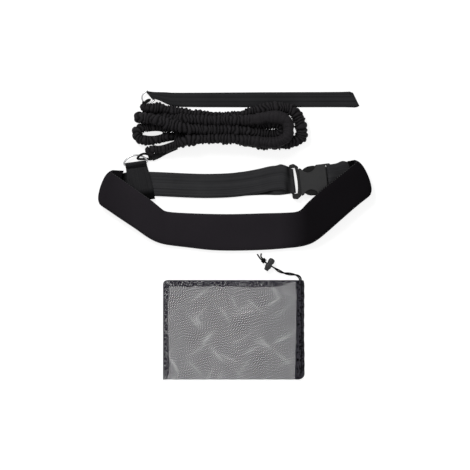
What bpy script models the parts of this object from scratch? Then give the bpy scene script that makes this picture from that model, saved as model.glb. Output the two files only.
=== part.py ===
"""A swim resistance belt laid flat: a padded waist belt with a side-release buckle, a gathered elastic
tether folded into a hank, an anchor strap with its own ring, and a mesh carry bag with a drawstring.
The floor is z = 0, x runs along the belt's back webbing and y runs up the layout. Lengths are in millimetres."""

import math

import bmesh
import bpy
from mathutils import Matrix, Vector

MM = 0.001

# Clearances
GAP = 0.35
SHELL_GAP = 0.3

# Belt webbing and waist pad
WEBBING_WIDTH = 48.6
WEBBING_THICKNESS = 1.6
LEFT_LEG_WIDTH = 68.0
RIGHT_LEG_WIDTH = 70.0
PAD_CENTRE_WIDTH = 75.6
PAD_THICKNESS = 10.0
COVER_WALL = 1.2
FOAM_THICKNESS = 3.9
WEBBING_ACROSS_PAD = 4.0
LEFT_UNDERLAP = 22.0
RIGHT_UNDERLAP = 14.0
LEFT_FOLD_RADIUS = 5.4
RIGHT_FOLD_RADIUS = 6.4
LEFT_FOLD_ANGLE = 71.4
RIGHT_FOLD_ANGLE = 112.5
FOLD_STEPS = 8

# Side-release buckle
BUCKLE_ORIGIN = (122.0, 104.6)
BUCKLE_ANGLE = 7.0
BUCKLE_HEIGHT = 12.6
FEMALE_START = 8.0
FEMALE_LENGTH = 54.0
FEMALE_WIDTH = 61.2
PLATE_THICKNESS = 5.0
BAR_WIDTH = 5.0
MALE_BAR_CENTRE = -8.0
MALE_OUTLINE = [(-10.5, -31.5), (-0.5, -33.5), (7.6, -27.5), (7.6, 31.5), (-0.8, 38.0), (-10.5, 36.5)]
MALE_CORNER = 3.5
MALE_SLOT_FAR_SIDE = [(0.4, -21.5), (2.2, -12.0), (3.0, 2.0), (2.6, 14.0), (1.6, 24.0), (0.6, 29.5)]
FEMALE_BAR_CENTRE = 69.2
CAVITY_HALF_WIDTH = 25.9
CAVITY_DEPTH = 40.0
CAVITY_HEIGHT = 6.0
EAR_WIDTH = 56.8
EAR_VALLEY = (15.5, 25.0)
EAR_BACK = 18.0
LIP_LENGTH = 2.4
LIP_HEIGHT = 2.4
NOTCH_CENTRE = (27.0, 33.0)
NOTCH_RADIUS = 15.5
PRONG_PIVOT = (12.4, 19.5)
TONGUE_HALF_WIDTH = 8.0
TONGUE_END = 44.0

# Sliding tab with its ring
TAB_ANGLE = 8.0
TAB_TILT = 11.0
TAB_LENGTH = 72.4
BELT_RING_WIRE = 3.5
BELT_RING_CENTRE = (-198.2, 143.0)
BELT_RING_HEIGHT = 5.9
BELT_RING_WIDTH = 47.0
BELT_RING_SIDE = 4.4
BELT_RING_DEPTH = 16.3
BELT_RING_CORNER = 2.0
TAB_RING_WIDTH = BELT_RING_WIDTH - BELT_RING_WIRE - 2 * GAP

# Tether
SLEEVE_RIDGE = 8.6
SLEEVE_GROOVE = 7.5
SLEEVE_BORE = 5.6
CORE_RADIUS = 4.0
GATHER_STEP = 9.8
LEAST_GATHER_STEP = 5.2
LOOP_CORD = 3.7
BAND_WIDTH = 13.0
BAND_THICKNESS = 3.6

# Anchor strap with its ring
ANCHOR_WEBBING_WIDTH = 29.8
ANCHOR_RING_WIRE = 3.0
ANCHOR_RING_HEIGHT = 5.8
ANCHOR_RING_SIDE = 8.0
ANCHOR_RING_DEPTH = 20.0
ANCHOR_RING_CORNER = 2.0

# Carry bag
BAG_LEFT = -143.8
BAG_RIGHT = 139.4
BAG_TOP = -90.2
BAG_BOTTOM = -289.0
BAG_CORNER = 9.0
PANEL_OPENINGS = (7, 6)
OPENING_SIZE = (25.0, 22.0)
HEM_WIDTH = 12.0
CHANNEL_WIDTH = 17.6
CHANNEL_HEIGHT = 5.6
PANEL_THICKNESS = 1.2
HEM_HEIGHT = 3.2
DRAWCORD = 2.7
DRAWCORD_SPACING = 3.1
LOCK_DIAMETER = 12.4
LOCK_BELOW = 13.0
LOCK_ABOVE = 6.4
LOCK_CENTRE = (68.4, -59.4)
LOCK_ANGLE = 58.0
LOCK_TO_KNOT = 2.0
LOCK_TO_BAG = 6.0
BUTTON_DIAMETER = 9.0
BUTTON_HEAD_DIAMETER = 11.6
BUTTON_HEAD_LENGTH = 4.0
BUTTON_TRAVEL = 3.0
KNOT_DIAMETER = 10.0
KNOT_CENTRE = (57.4, -51.4)


def clear_scene():
    """Removes what the scene holds, so that the script can run in any file."""
    for thing in list(bpy.data.objects):
        bpy.data.objects.remove(thing)


def material(name, colour, roughness, metallic=0.0):
    """A plain surface of one colour."""
    made = bpy.data.materials.new(name)
    made.use_nodes = True
    shader = made.node_tree.nodes["Principled BSDF"]
    shader.inputs["Base Color"].default_value = (*colour, 1.0)
    shader.inputs["Roughness"].default_value = roughness
    shader.inputs["Metallic"].default_value = metallic
    return made


def place(name, mesh, surface, origin=(0.0, 0.0, 0.0), angle=0.0):
    """Puts a mesh, drawn in millimetres about its own origin, into the scene."""
    mesh.transform(Matrix.Scale(MM, 4))
    made = bpy.data.objects.new(name, mesh)
    made.location = Vector(origin) * MM
    made.rotation_euler.z = math.radians(angle)
    mesh.materials.append(surface)
    bpy.context.scene.collection.objects.link(made)
    return made


def mesh_from(name, vertices, faces):
    """A mesh with its faces turned outwards."""
    mesh = bpy.data.meshes.new(name)
    mesh.from_pydata([tuple(v) for v in vertices], [], faces)
    work = bmesh.new()
    work.from_mesh(mesh)
    bmesh.ops.recalc_face_normals(work, faces=work.faces)
    work.to_mesh(mesh)
    work.free()
    return mesh


def turned(angle):
    """The unit vector in the plan at an angle in degrees from +x."""
    return Vector((math.cos(math.radians(angle)), math.sin(math.radians(angle)), 0.0))


def blend(points, per_span):
    """A smooth curve through points of any dimension, with per_span steps between two of them."""
    rows = [Vector(p) for p in points]
    rows = [rows[0] * 2 - rows[1], *rows, rows[-1] * 2 - rows[-2]]
    out = []
    for i in range(1, len(rows) - 2):
        a, b, c, d = rows[i - 1 : i + 3]
        for k in range(per_span):
            t = k / per_span
            out.append(
                (b * 2 + (c - a) * t + (a * 2 - b * 5 + c * 4 - d) * t**2 + (b * 3 - a - c * 3 + d) * t**3) / 2
            )
    out.append(rows[-2])
    return out


def evenly(points, step):
    """Points at one spacing along a smooth curve through the given ones."""
    fine = blend(points, 16)
    runs = [0.0]
    for a, b in zip(fine, fine[1:]):
        runs.append(runs[-1] + (b - a).length)
    count = max(2, round(runs[-1] / step))
    out = []
    k = 0
    for i in range(count + 1):
        at = runs[-1] * i / count
        while k < len(runs) - 2 and runs[k + 1] < at:
            k += 1
        share = (at - runs[k]) / (runs[k + 1] - runs[k])
        out.append(fine[k].lerp(fine[k + 1], min(1.0, share)))
    return out


def route_length(points):
    """The length of a line of points."""
    return sum((b - a).length for a, b in zip(points, points[1:]))


class Station:
    """One line across a strip: its centre, the direction across, its normal and how skew it lies."""

    def __init__(self, centre, across, normal, stretch=1.0):
        self.centre = centre
        self.across = across
        self.normal = normal
        self.stretch = stretch

    def point(self, t, h):
        """The place t across the strip and h out from its middle surface."""
        return self.centre + self.across * (t * self.stretch) + self.normal * h


def stations_on(points, angles, closed=False):
    """Stations along a line of points, each with the plan angle of its line across."""
    out = []
    last = len(points) - 1
    for i, (point, angle) in enumerate(zip(points, angles)):
        before = points[i - 1] if i or closed else points[0]
        after = points[(i + 1) % (last + 1)] if i < last or closed else points[last]
        along = (after - before).normalized()
        across = turned(angle)
        normal = along.cross(across)
        out.append(Station(point, across, normal.normalized(), 1.0 / normal.length))
    return out


def strip(name, stations, profile_at, surface, closed=False, bore_at=None):
    """A strip swept through its stations with a profile of (t, h) points, and with a bore if one is given."""
    loops = [profile_at] if bore_at is None else [profile_at, bore_at]
    vertices = []
    for make in loops:
        for i, station in enumerate(stations):
            vertices += [station.point(t, h) for t, h in make(i)]
    n = len(profile_at(0))
    rows = len(stations)
    faces = []
    for start in range(0, len(loops) * rows * n, rows * n):
        for i in range(rows if closed else rows - 1):
            for k in range(n):
                a = start + i * n
                b = start + (i + 1) % rows * n
                faces.append((a + k, a + (k + 1) % n, b + (k + 1) % n, b + k))
    if not closed:
        for end in (0, (rows - 1) * n):
            if bore_at is None:
                faces.append(tuple(range(end, end + n)))
            else:
                for k in range(n):
                    j = (k + 1) % n
                    faces.append((end + k, end + j, end + rows * n + j, end + rows * n + k))
    return place(name, mesh_from(name, vertices, faces), surface)


def flat_profile(width, thickness):
    """A rectangular webbing profile. The width is one number or a list with one for each station."""
    half = thickness / 2

    def at(i):
        w = (width[i] if isinstance(width, list) else width) / 2
        return [(-w, -half), (w, -half), (w, half), (-w, half)]

    return at


def cord(name, points, diameter, surface, cyclic=False):
    """A round cord through a line of points, in one unbroken tube."""
    curve = bpy.data.curves.new(name, "CURVE")
    curve.dimensions = "3D"
    curve.bevel_depth = diameter / 2 * MM
    curve.bevel_resolution = 2
    curve.use_fill_caps = not cyclic
    spline = curve.splines.new("POLY")
    spline.points.add(len(points) - 1)
    for slot, point in zip(spline.points, points):
        slot.co = (*(Vector(point) * MM), 1.0)
    spline.use_cyclic_u = cyclic
    spline.use_smooth = True
    curve.materials.append(surface)
    made = bpy.data.objects.new(name, curve)
    bpy.context.scene.collection.objects.link(made)
    return made


def slab(name, outline, low, high, surface=None, origin=(0.0, 0.0, 0.0), angle=0.0):
    """An outline extruded from low to high."""
    n = len(outline)
    vertices = [(x, y, low) for x, y in outline] + [(x, y, high) for x, y in outline]
    faces = [tuple(range(n - 1, -1, -1)), tuple(range(n, 2 * n))]
    faces += [(k, (k + 1) % n, n + (k + 1) % n, n + k) for k in range(n)]
    mesh = mesh_from(name, vertices, faces)
    made = place(name, mesh, surface or bpy.data.materials["cutter"], origin, angle)
    if surface is None:
        make_guide(made)
    return made


def make_guide(thing):
    """Marks a shape that only cuts others."""
    thing.hide_render = True
    thing.display_type = "WIRE"


def cylinder(name, radius, length, surface=None, segments=24):
    """A cylinder along +x from its own origin."""
    mesh = bpy.data.meshes.new(name)
    work = bmesh.new()
    bmesh.ops.create_cone(
        work, cap_ends=True, segments=segments, radius1=radius, radius2=radius, depth=length,
        matrix=Matrix.Rotation(math.radians(90), 4, "Y"),
    )
    bmesh.ops.translate(work, verts=work.verts, vec=(length / 2, 0, 0))
    work.to_mesh(mesh)
    work.free()
    made = place(name, mesh, surface or bpy.data.materials["cutter"])
    if surface is None:
        make_guide(made)
    return made


def combine(target, other, operation):
    """Cuts a shape out of another, or joins the two into one body."""
    make_guide(other)
    step = target.modifiers.new(other.name, "BOOLEAN")
    step.operation = operation
    step.object = other
    step.solver = "EXACT"


def soften(thing, width):
    """Rounds the sharp edges of a moulded piece."""
    step = thing.modifiers.new("edges", "BEVEL")
    step.width = width * MM
    step.segments = 1
    step.limit_method = "ANGLE"
    step.angle_limit = math.radians(50)


def rounded(corners, radius, steps=3):
    """A convex or notched outline with each corner drawn as an arc."""
    out = []
    n = len(corners)
    for i in range(n):
        here = Vector(corners[i])
        before = (Vector(corners[i - 1]) - here).normalized()
        after = (Vector(corners[(i + 1) % n]) - here).normalized()
        turn = before.angle(after)
        back = radius / math.tan(turn / 2)
        centre = here + (before + after).normalized() * (radius / math.sin(turn / 2))
        start = here + before * back - centre
        end = here + after * back - centre
        for k in range(steps + 1):
            out.append(tuple(centre + start.lerp(end, k / steps).normalized() * radius))
    return out


# Waist pad, as (x, y, height of its middle, angle of the line across, width)
PAD_LEFT_AXIS = (-256.6, 91.4)
PAD_RIGHT_AXIS = (253.8, 110.0)
PAD_STATIONS = [
    (-218.0, 64.8, 15.4, 63.0, LEFT_LEG_WIDTH),
    (-182.0, 40.0, 13.6, 62.0, LEFT_LEG_WIDTH - 1.0),
    (-157.0, 21.8, 9.6, 69.0, LEFT_LEG_WIDTH - 3.0),
    (-136.0, 14.0, 6.4, 84.0, LEFT_LEG_WIDTH - 0.5),
    (-97.0, 9.6, 5.05, 92.0, PAD_CENTRE_WIDTH - 5.0),
    (-49.0, 6.0, 5.05, 91.0, PAD_CENTRE_WIDTH - 1.0),
    (0.0, 5.2, 5.05, 90.0, PAD_CENTRE_WIDTH),
    (59.0, 6.8, 5.05, 89.0, PAD_CENTRE_WIDTH),
    (107.0, 9.4, 5.6, 89.0, PAD_CENTRE_WIDTH - 2.6),
    (135.0, 14.4, 9.6, 98.0, RIGHT_LEG_WIDTH + 1.0),
    (157.0, 29.0, 14.4, 110.0, RIGHT_LEG_WIDTH + 2.0),
    (190.0, 58.0, 18.6, 121.0, RIGHT_LEG_WIDTH + 3.0),
    (218.4, 81.6, 18.2, 118.0, RIGHT_LEG_WIDTH + 1.6),
]
PAD_LEFT_HEADING = 145.2
PAD_RIGHT_HEADING = 40.6


def fold(axis, fold_angle, heading, radius, underlap, width):
    """Stations of a strip that turns under along a skew line, from the fold's line to the strip's end."""
    across = turned(fold_angle)
    along = turned(heading)
    outward = Vector((across.y, -across.x, 0.0))
    if outward.dot(along) < 0:
        outward = -outward
    slope = along.dot(across)
    rise = along.dot(outward)
    middle = Vector((*axis, PAD_THICKNESS / 2 + 2 * radius))
    out = []
    for k in range(FOLD_STEPS + 1):
        turn = math.pi * k / FOLD_STEPS
        drift = across * (radius * turn / rise * slope)
        centre = middle + drift + outward * (radius * math.sin(turn)) + Vector((0, 0, radius * (math.cos(turn) - 1)))
        normal = outward * math.sin(turn) + Vector((0, 0, math.cos(turn)))
        out.append((Station(centre, across, normal, 1.0 / rise), width))
    back = across * slope - outward * rise
    for share in (0.5, 1.0):
        end = out[FOLD_STEPS][0]
        out.append((Station(end.centre + back * (underlap * share), across, end.normal, end.stretch), width))
    return out


def pad_path():
    """The pad's stations with their widths, from its left end under the belt to its right end."""
    left = fold(
        PAD_LEFT_AXIS, LEFT_FOLD_ANGLE, PAD_LEFT_HEADING, LEFT_FOLD_RADIUS, LEFT_UNDERLAP, LEFT_LEG_WIDTH
    )
    right = fold(
        PAD_RIGHT_AXIS, RIGHT_FOLD_ANGLE, PAD_RIGHT_HEADING, RIGHT_FOLD_RADIUS, RIGHT_UNDERLAP, RIGHT_LEG_WIDTH
    )
    start = left[0][0].centre
    end = right[0][0].centre
    rows = [(*start, LEFT_FOLD_ANGLE, LEFT_LEG_WIDTH)]
    rows += PAD_STATIONS
    rows.append((*end, RIGHT_FOLD_ANGLE, RIGHT_LEG_WIDTH))
    fine = blend(rows, 2)
    lowest = PAD_THICKNESS / 2 + 0.05
    points = [Vector((row[0], row[1], max(row[2], lowest))) for row in fine]
    middle = stations_on(points, [row[3] for row in fine])
    out = list(reversed(left))
    out += [(station, row[4]) for station, row in zip(middle[1:-1], fine[1:-1])]
    out += right
    return out


def cover_profile(widths, inset):
    """The cover's rounded section, or its bore when it is inset by the wall."""

    def at(i):
        w = widths[i] / 2 - inset * 1.1
        top = PAD_THICKNESS / 2 - inset
        row = [(1.2 - w, top - 1.0 + inset * 0.5), (6.0 - w, top - 0.1), (0.0, top)]
        upper = row + [(-t, h) for t, h in reversed(row[:-1])]
        lower = [(-t, -h) for t, h in upper]
        return [*upper, (w, 0.0), *lower, (-w, 0.0)]

    return at


def make_pad(fabric, foam):
    """The sleeve that the webbing runs through, and the foam that it holds on the body's side."""
    path = pad_path()
    stations = [station for station, _ in path]
    widths = [width for _, width in path]
    strip(
        "pad_cover", stations, cover_profile(widths, 0.0), fabric,
        bore_at=cover_profile(widths, COVER_WALL),
    )
    low = -PAD_THICKNESS / 2 + COVER_WALL + 2 * GAP
    high = low + FOAM_THICKNESS

    def foam_profile(i):
        w = widths[i] / 2 - COVER_WALL - 3.0
        return [(-w, low), (w, low), (w, high), (-w, high)]

    strip("pad_foam", stations[1:-1], lambda i: foam_profile(i + 1), foam)
    return stations


def buckle_point(u, v, z):
    """A place in the buckle's own frame, u along the belt and v across it."""
    return Vector((*BUCKLE_ORIGIN, z)) + turned(BUCKLE_ANGLE) * u + turned(BUCKLE_ANGLE + 90) * v


def bar_wrap(bar_centre, v, first, last):
    """The turn of the webbing round a buckle's bar, between two angles in degrees."""
    radius = math.hypot(PLATE_THICKNESS, BAR_WIDTH) / 2 + GAP + WEBBING_THICKNESS / 2 + 0.1
    steps = 6
    out = []
    for k in range(steps + 1):
        turn = math.radians(first + (last - first) * k / steps)
        out.append(
            buckle_point(bar_centre + radius * math.cos(turn), v, BUCKLE_HEIGHT / 2 + radius * math.sin(turn))
        )
    return out


WEBBING_HEIGHT = 3.05
TAIL_POINTS = [(6.0, 101.4, 0.95), (30.0, 103.2, 0.95), (60.0, 104.4, 0.95), (88.0, 104.0, 1.2)]
BACK_POINTS = [
    (96.0, 115.6, 9.0), (74.0, 113.6, 4.2), (54.0, 109.0, WEBBING_HEIGHT), (23.0, 103.2, WEBBING_HEIGHT),
    (-14.0, 99.2, WEBBING_HEIGHT), (-62.0, 98.0, WEBBING_HEIGHT), (-110.0, 99.6, WEBBING_HEIGHT),
    (-157.0, 101.8, WEBBING_HEIGHT), (-206.0, 102.4, WEBBING_HEIGHT),
]
SHORT_POINTS = [(221.0, 118.6, 3.0), (208.0, 116.8, 4.8)]
SHORT_END_POINTS = [(201.0, 115.8, 1.4), (211.5, 117.2, 2.0)]


def make_webbing(pad, fabric):
    """The belt's one long webbing, from its loose end round both buckle bars."""
    inside = [
        station.point(WEBBING_ACROSS_PAD, PAD_THICKNESS / 2 - COVER_WALL - GAP - WEBBING_THICKNESS / 2 - 0.35)
        for station in pad
    ]
    inside_angles = [math.degrees(math.atan2(s.across.y, s.across.x)) for s in pad]
    tail = [Vector(p) for p in TAIL_POINTS]
    back = blend([*BACK_POINTS, inside[0]], 2)[:-1]
    male = bar_wrap(MALE_BAR_CENTRE, 4.0, -90, 90)
    female = bar_wrap(FEMALE_BAR_CENTRE, 2.0, 90, 270)
    short = [Vector(p) for p in SHORT_POINTS]
    end = [Vector(p) for p in SHORT_END_POINTS]
    points = [*tail, *male, *back, *inside, *short, *female, *end]
    buckle_across = BUCKLE_ANGLE + 90
    angles = [91.0, 90.0, 90.0, 95.0] + [buckle_across] * len(male)
    for i, point in enumerate(back):
        share = i / (len(back) - 1)
        near = max(0.0, 1.0 - share * 3.0)
        far = max(0.0, share * 3.0 - 2.0)
        angles.append(88.0 + (buckle_across - 88.0) * near + (inside_angles[0] - 88.0) * far)
    angles += inside_angles
    angles += [106.0, 100.0] + [buckle_across] * len(female) + [98.0, 99.0]
    strip(
        "belt_webbing", stations_on(points, angles), flat_profile(WEBBING_WIDTH, WEBBING_THICKNESS), fabric
    )


def circle_outline(centre, radius, steps=28):
    """The outline of a round hole."""
    return [
        (centre[0] + radius * math.cos(2 * math.pi * k / steps), centre[1] + radius * math.sin(2 * math.pi * k / steps))
        for k in range(steps)
    ]


def box_outline(low_u, low_v, high_u, high_v):
    """The outline of a straight-sided hole."""
    return [(low_u, low_v), (high_u, low_v), (high_u, high_v), (low_u, high_v)]


def make_buckle(plastic):
    """The three moulded pieces of the side-release buckle: the socket, the plug and its two prongs."""
    origin = (*BUCKLE_ORIGIN, 0.0)
    middle = BUCKLE_HEIGHT / 2
    plate = (middle - PLATE_THICKNESS / 2, middle + PLATE_THICKNESS / 2)
    cavity = (middle - CAVITY_HEIGHT / 2, middle + CAVITY_HEIGHT / 2)
    half = FEMALE_WIDTH / 2
    end = FEMALE_START + FEMALE_LENGTH
    slot_half = WEBBING_WIDTH / 2 + 2.6

    upper_side = [(end, half), (EAR_BACK, half), EAR_VALLEY, (FEMALE_START, EAR_WIDTH / 2)]
    lower_side = [(u, -v) for u, v in reversed(upper_side)]
    female = slab(
        "buckle_socket", rounded(lower_side + upper_side, 1.5), 0.0, BUCKLE_HEIGHT, plastic, origin, BUCKLE_ANGLE
    )
    for side in (1, -1):
        notch = slab(
            f"notch_cutter_{side}", circle_outline((NOTCH_CENTRE[0], side * NOTCH_CENTRE[1]), NOTCH_RADIUS),
            -1.0, BUCKLE_HEIGHT + 1.0, None, origin, BUCKLE_ANGLE,
        )
        combine(female, notch, "DIFFERENCE")
    soften(female, 1.0)
    frame_end = FEMALE_BAR_CENTRE + BAR_WIDTH / 2
    rear = slab(
        "rear_frame_body", rounded(box_outline(end - 4.0, -half, frame_end, half), 2.4), *plate,
        plastic, origin, BUCKLE_ANGLE,
    )
    combine(female, rear, "UNION")
    cavity_end = FEMALE_START + CAVITY_DEPTH
    cavity_cutter = slab(
        "cavity_cutter", box_outline(FEMALE_START - 1.0, -CAVITY_HALF_WIDTH, cavity_end, CAVITY_HALF_WIDTH),
        *cavity, None, origin, BUCKLE_ANGLE,
    )
    combine(female, cavity_cutter, "DIFFERENCE")
    window_cutter = slab(
        "window_cutter", box_outline(14.0, -half - 1.0, 42.4, half + 1.0), *cavity, None, origin, BUCKLE_ANGLE
    )
    combine(female, window_cutter, "DIFFERENCE")
    slot_cutter = slab(
        "slot_cutter", box_outline(end + 0.4, -slot_half, FEMALE_BAR_CENTRE - BAR_WIDTH / 2, slot_half),
        -1.0, BUCKLE_HEIGHT + 1.0, None, origin, BUCKLE_ANGLE,
    )
    combine(female, slot_cutter, "DIFFERENCE")
    lip = slab(
        "slot_lip_body", box_outline(end - 2.0, -WEBBING_WIDTH / 2, end + LIP_LENGTH, WEBBING_WIDTH / 2),
        0.0, LIP_HEIGHT, plastic, origin, BUCKLE_ANGLE,
    )
    combine(female, lip, "UNION")

    neck = CAVITY_HALF_WIDTH - 0.4
    shoulder = FEMALE_START - 0.4
    root = FEMALE_START + 1.2
    male = slab("buckle_plug", rounded(MALE_OUTLINE, MALE_CORNER), *plate, plastic, origin, BUCKLE_ANGLE)
    bar_side = MALE_BAR_CENTRE + BAR_WIDTH / 2
    slot_ends = [(bar_side, MALE_SLOT_FAR_SIDE[-1][1]), (bar_side, MALE_SLOT_FAR_SIDE[0][1])]
    slot = slab(
        "plug_slot_cutter", MALE_SLOT_FAR_SIDE + slot_ends, -1.0, BUCKLE_HEIGHT + 1.0, None, origin, BUCKLE_ANGLE
    )
    combine(male, slot, "DIFFERENCE")
    tongue = slab(
        "tongue_body",
        [
            (shoulder - 1.0, -neck), (root, -neck), (root, -TONGUE_HALF_WIDTH), (TONGUE_END, -TONGUE_HALF_WIDTH + 2),
            (TONGUE_END, TONGUE_HALF_WIDTH - 2), (root, TONGUE_HALF_WIDTH), (root, neck), (shoulder - 1.0, neck),
        ],
        plate[0] + 0.2, plate[1] - 0.2, plastic, origin, BUCKLE_ANGLE,
    )
    combine(male, tongue, "UNION")
    soften(male, 0.9)

    outline = [
        (9.9, 18.4), (12.4, 16.8), (20.0, 16.6), (34.0, 16.8), (40.0, 20.6), (46.6, 21.8), (47.0, 24.2), (42.2, 25.0),
        (41.5, 25.4), (41.5, 28.2), (40.4, 29.4), (34.0, 29.8), (26.0, 29.2), (20.0, 27.0), (14.6, 23.0),
        (12.4, 22.0), (9.9, 20.6),
    ]
    for name, side in (("upper", 1), ("lower", -1)):
        points = [(u - PRONG_PIVOT[0], side * (v - PRONG_PIVOT[1])) for u, v in outline]
        pivot = buckle_point(PRONG_PIVOT[0], side * PRONG_PIVOT[1], 0.0)
        if side < 0:
            points.reverse()
        prong = slab(f"buckle_prong_{name}", points, *plate, plastic, pivot, BUCKLE_ANGLE)
        soften(prong, 0.4)


def ring_outline(width, side, depth, corner):
    """A D-ring's wire line about the middle of its bar, x along the bar and y towards its arc."""
    half = width / 2
    rise = depth - side
    radius = (half**2 + rise**2) / (2 * rise)
    centre = depth - radius
    first = math.asin((side - centre) / radius)
    straight = half - corner
    points = [(straight * (k - 3) / 3, 0.0) for k in range(7)]
    for k in range(1, 4):
        turn = math.pi / 6 * k
        points.append((straight + corner * math.sin(turn), corner * (1 - math.cos(turn))))
    steps = 16
    for k in range(steps + 1):
        turn = first + (math.pi - 2 * first) * k / steps
        points.append((radius * math.cos(turn), centre + radius * math.sin(turn)))
    for k in range(3, 0, -1):
        turn = math.pi / 6 * k
        points.append((-straight - corner * math.sin(turn), corner * (1 - math.cos(turn))))
    return points


def make_belt_ring(steel):
    """The wire ring in the tab's end."""
    along = turned(TAB_ANGLE)
    up = turned(TAB_ANGLE + 90)
    centre = Vector((*BELT_RING_CENTRE, BELT_RING_HEIGHT))
    outline = ring_outline(BELT_RING_WIDTH, BELT_RING_SIDE, BELT_RING_DEPTH, BELT_RING_CORNER)
    cord("belt_ring", [centre + along * x + up * y for x, y in outline], BELT_RING_WIRE, steel, cyclic=True)


def make_tab(fabric):
    """The loop of webbing that slides on the belt and holds the ring."""
    layer = WEBBING_THICKNESS
    ring_turn = BELT_RING_WIRE / 2 + GAP + layer / 2
    low = layer / 2 + 0.05
    high = WEBBING_HEIGHT + WEBBING_THICKNESS / 2 + GAP + layer / 2
    stitched = low + layer + GAP
    end_turn = (high - low) / 2
    profile = []
    for k in range(7):
        turn = math.pi * k / 6
        profile.append((-ring_turn * math.sin(turn), BELT_RING_HEIGHT - ring_turn * math.cos(turn)))
    profile += [(5.0, BELT_RING_HEIGHT + 0.4), (8.0, stitched), (9.6, stitched), (11.6, high), (40.0, high)]
    for k in range(5):
        turn = math.pi * k / 4
        profile.append((TAB_LENGTH + end_turn * math.sin(turn), (high + low) / 2 + end_turn * math.cos(turn)))
    profile += [(40.0, low), (10.0, low), (5.0, low + 0.6)]
    down = -turned(TAB_TILT + 90)
    top = Vector((*BELT_RING_CENTRE, 0.0))
    points = [top + down * v + Vector((0, 0, z)) for v, z in profile]
    widths = [
        TAB_RING_WIDTH + (WEBBING_WIDTH - TAB_RING_WIDTH) * min(1.0, max(0.0, v - 8.0) / 30.0) for v, _ in profile
    ]
    angles = [TAB_ANGLE] * len(points)
    strip("ring_tab", stations_on(points, angles, closed=True), flat_profile(widths, layer), fabric, closed=True)


# The tether's folded route, from its anchor end to its belt end, as (x, y, z)
HANK_ROUTE = [
    (-170, 252.8, 9.0), (-152, 252.2, 9.0), (-128, 247.8, 9.0), (-98, 242.2, 9.0), (-66, 238.4, 9.0),
    (-34, 235.8, 9.0), (-10, 236.0, 9.0), (14, 240.2, 9.6), (36, 246.4, 11.2), (57, 251.6, 13.0), (80, 253.8, 13.4),
    (102, 252.8, 13.2), (115.6, 247.4, 11.8), (124.0, 238.0, 10.0), (128.8, 225, 9.0), (132.0, 212, 9.0),
    (133.2, 202, 9.0), (129.4, 193.4, 9.0), (118, 187.6, 9.0), (100, 183, 9.0), (74, 180, 9.0),
    (46, 181.8, 9.0), (18, 188.2, 9.0), (-8, 194.6, 9.0),
    (-36, 197.0, 9.0), (-64, 196.8, 9.0), (-90, 196.4, 9.0), (-116, 196.6, 9.0), (-140, 195.2, 9.0),
    (-157, 192.0, 9.0), (-172, 189.8, 9.0), (-184.8, 190.8, 9.0), (-193.8, 196.4, 9.0), (-195.6, 204.6, 9.0),
    (-190.0, 212.2, 9.0), (-178, 216.2, 9.0),
    (-150, 215.8, 9.0), (-120, 215.4, 9.0), (-90, 215.6, 9.0), (-64, 216.0, 9.0), (-36, 216.2, 9.0),
    (-8, 217.4, 9.0), (16, 220.4, 9.0), (40, 222.0, 9.0), (62, 222.6, 9.0), (78, 222.2, 9.0),
    (88.6, 218.8, 9.0), (93.0, 211.0, 9.0), (88.8, 203.4, 9.0), (78, 200.2, 9.2),
    (62, 200.4, 10.6), (44, 202.6, 14.4), (22, 206.6, 21.2), (-2, 209.4, 25.4),
    (-36, 210.0, 25.9), (-70, 210.6, 26.2), (-96, 213.0, 28.6), (-120, 218.4, 33.0), (-144, 225.8, 33.2),
    (-166, 231.2, 30.0), (-182.2, 233.6, 27.4), (-188.8, 234, 24.8), (-191.4, 234.4, 18.3), (-188.8, 234.8, 11.8),
    (-182.2, 234.8, 9.6), (-162, 234.6, 10.0), (-139, 232.4, 16.6), (-116, 231.2, 20.8), (-92, 230.4, 24.0),
    (-64, 229.0, 25.8), (-36, 228.0, 26.0), (-8, 228.2, 26.2), (18, 228.8, 26.8), (40, 230.2, 26.0),
    (62, 234.6, 23.4), (84, 234.8, 22.0), (99.6, 228.6, 21.6), (106.4, 217, 21.6), (106.6, 204, 22.8),
    (101.4, 193.6, 24.8), (90, 187.2, 26.4), (74, 184.8, 27.0), (54, 185.6, 27.6), (36, 187.6, 27.6),
    (16, 190.0, 27.2), (-8, 191.4, 27.0),
    (-36, 191.8, 26.8), (-62, 191.2, 26.8), (-84, 189.4, 26.4), (-100, 187.0, 25.2), (-115, 183.0, 20.8),
    (-130, 177.6, 15.2), (-146, 172.4, 13.2), (-159, 171.2, 10.9), (-171, 172.0, 9.6),
]


def gathered(points):
    """Places for the gathers along a route, closer together where it bends."""
    fine = evenly(points, 1.0)
    places = [fine[0]]
    k = 0
    while True:
        before = fine[max(0, k - 3)]
        here = fine[k]
        after = fine[min(len(fine) - 1, k + 3)]
        turn = (here - before).angle(after - here, 0.0) if 0 < k < len(fine) - 1 else 0.0
        step = GATHER_STEP
        if turn > 0.01:
            step = min(GATHER_STEP, max(LEAST_GATHER_STEP, 0.5 * 3.0 / turn))
        k += round(step)
        if k > len(fine) - 3:
            places.append(fine[-1])
            return places
        places.append(fine[k])


def frames(points):
    """Two crosswise directions at each point of a route, carried along without twist."""
    side = None
    out = []
    last = len(points) - 1
    for i in range(last + 1):
        along = (points[min(last, i + 1)] - points[max(0, i - 1)]).normalized()
        if side is None:
            side = along.cross(Vector((0, 0, 1))).normalized()
        side = (side - along * side.dot(along)).normalized()
        out.append((side, along.cross(side)))
    return out


def ring_of(point, frame, radius, sides):
    """The corners of one ring of a tube."""
    out = []
    for k in range(sides):
        turn = 2 * math.pi * (k + 0.5) / sides
        out.append(point + frame[0] * (radius * math.cos(turn)) + frame[1] * (radius * math.sin(turn)))
    return out


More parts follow.
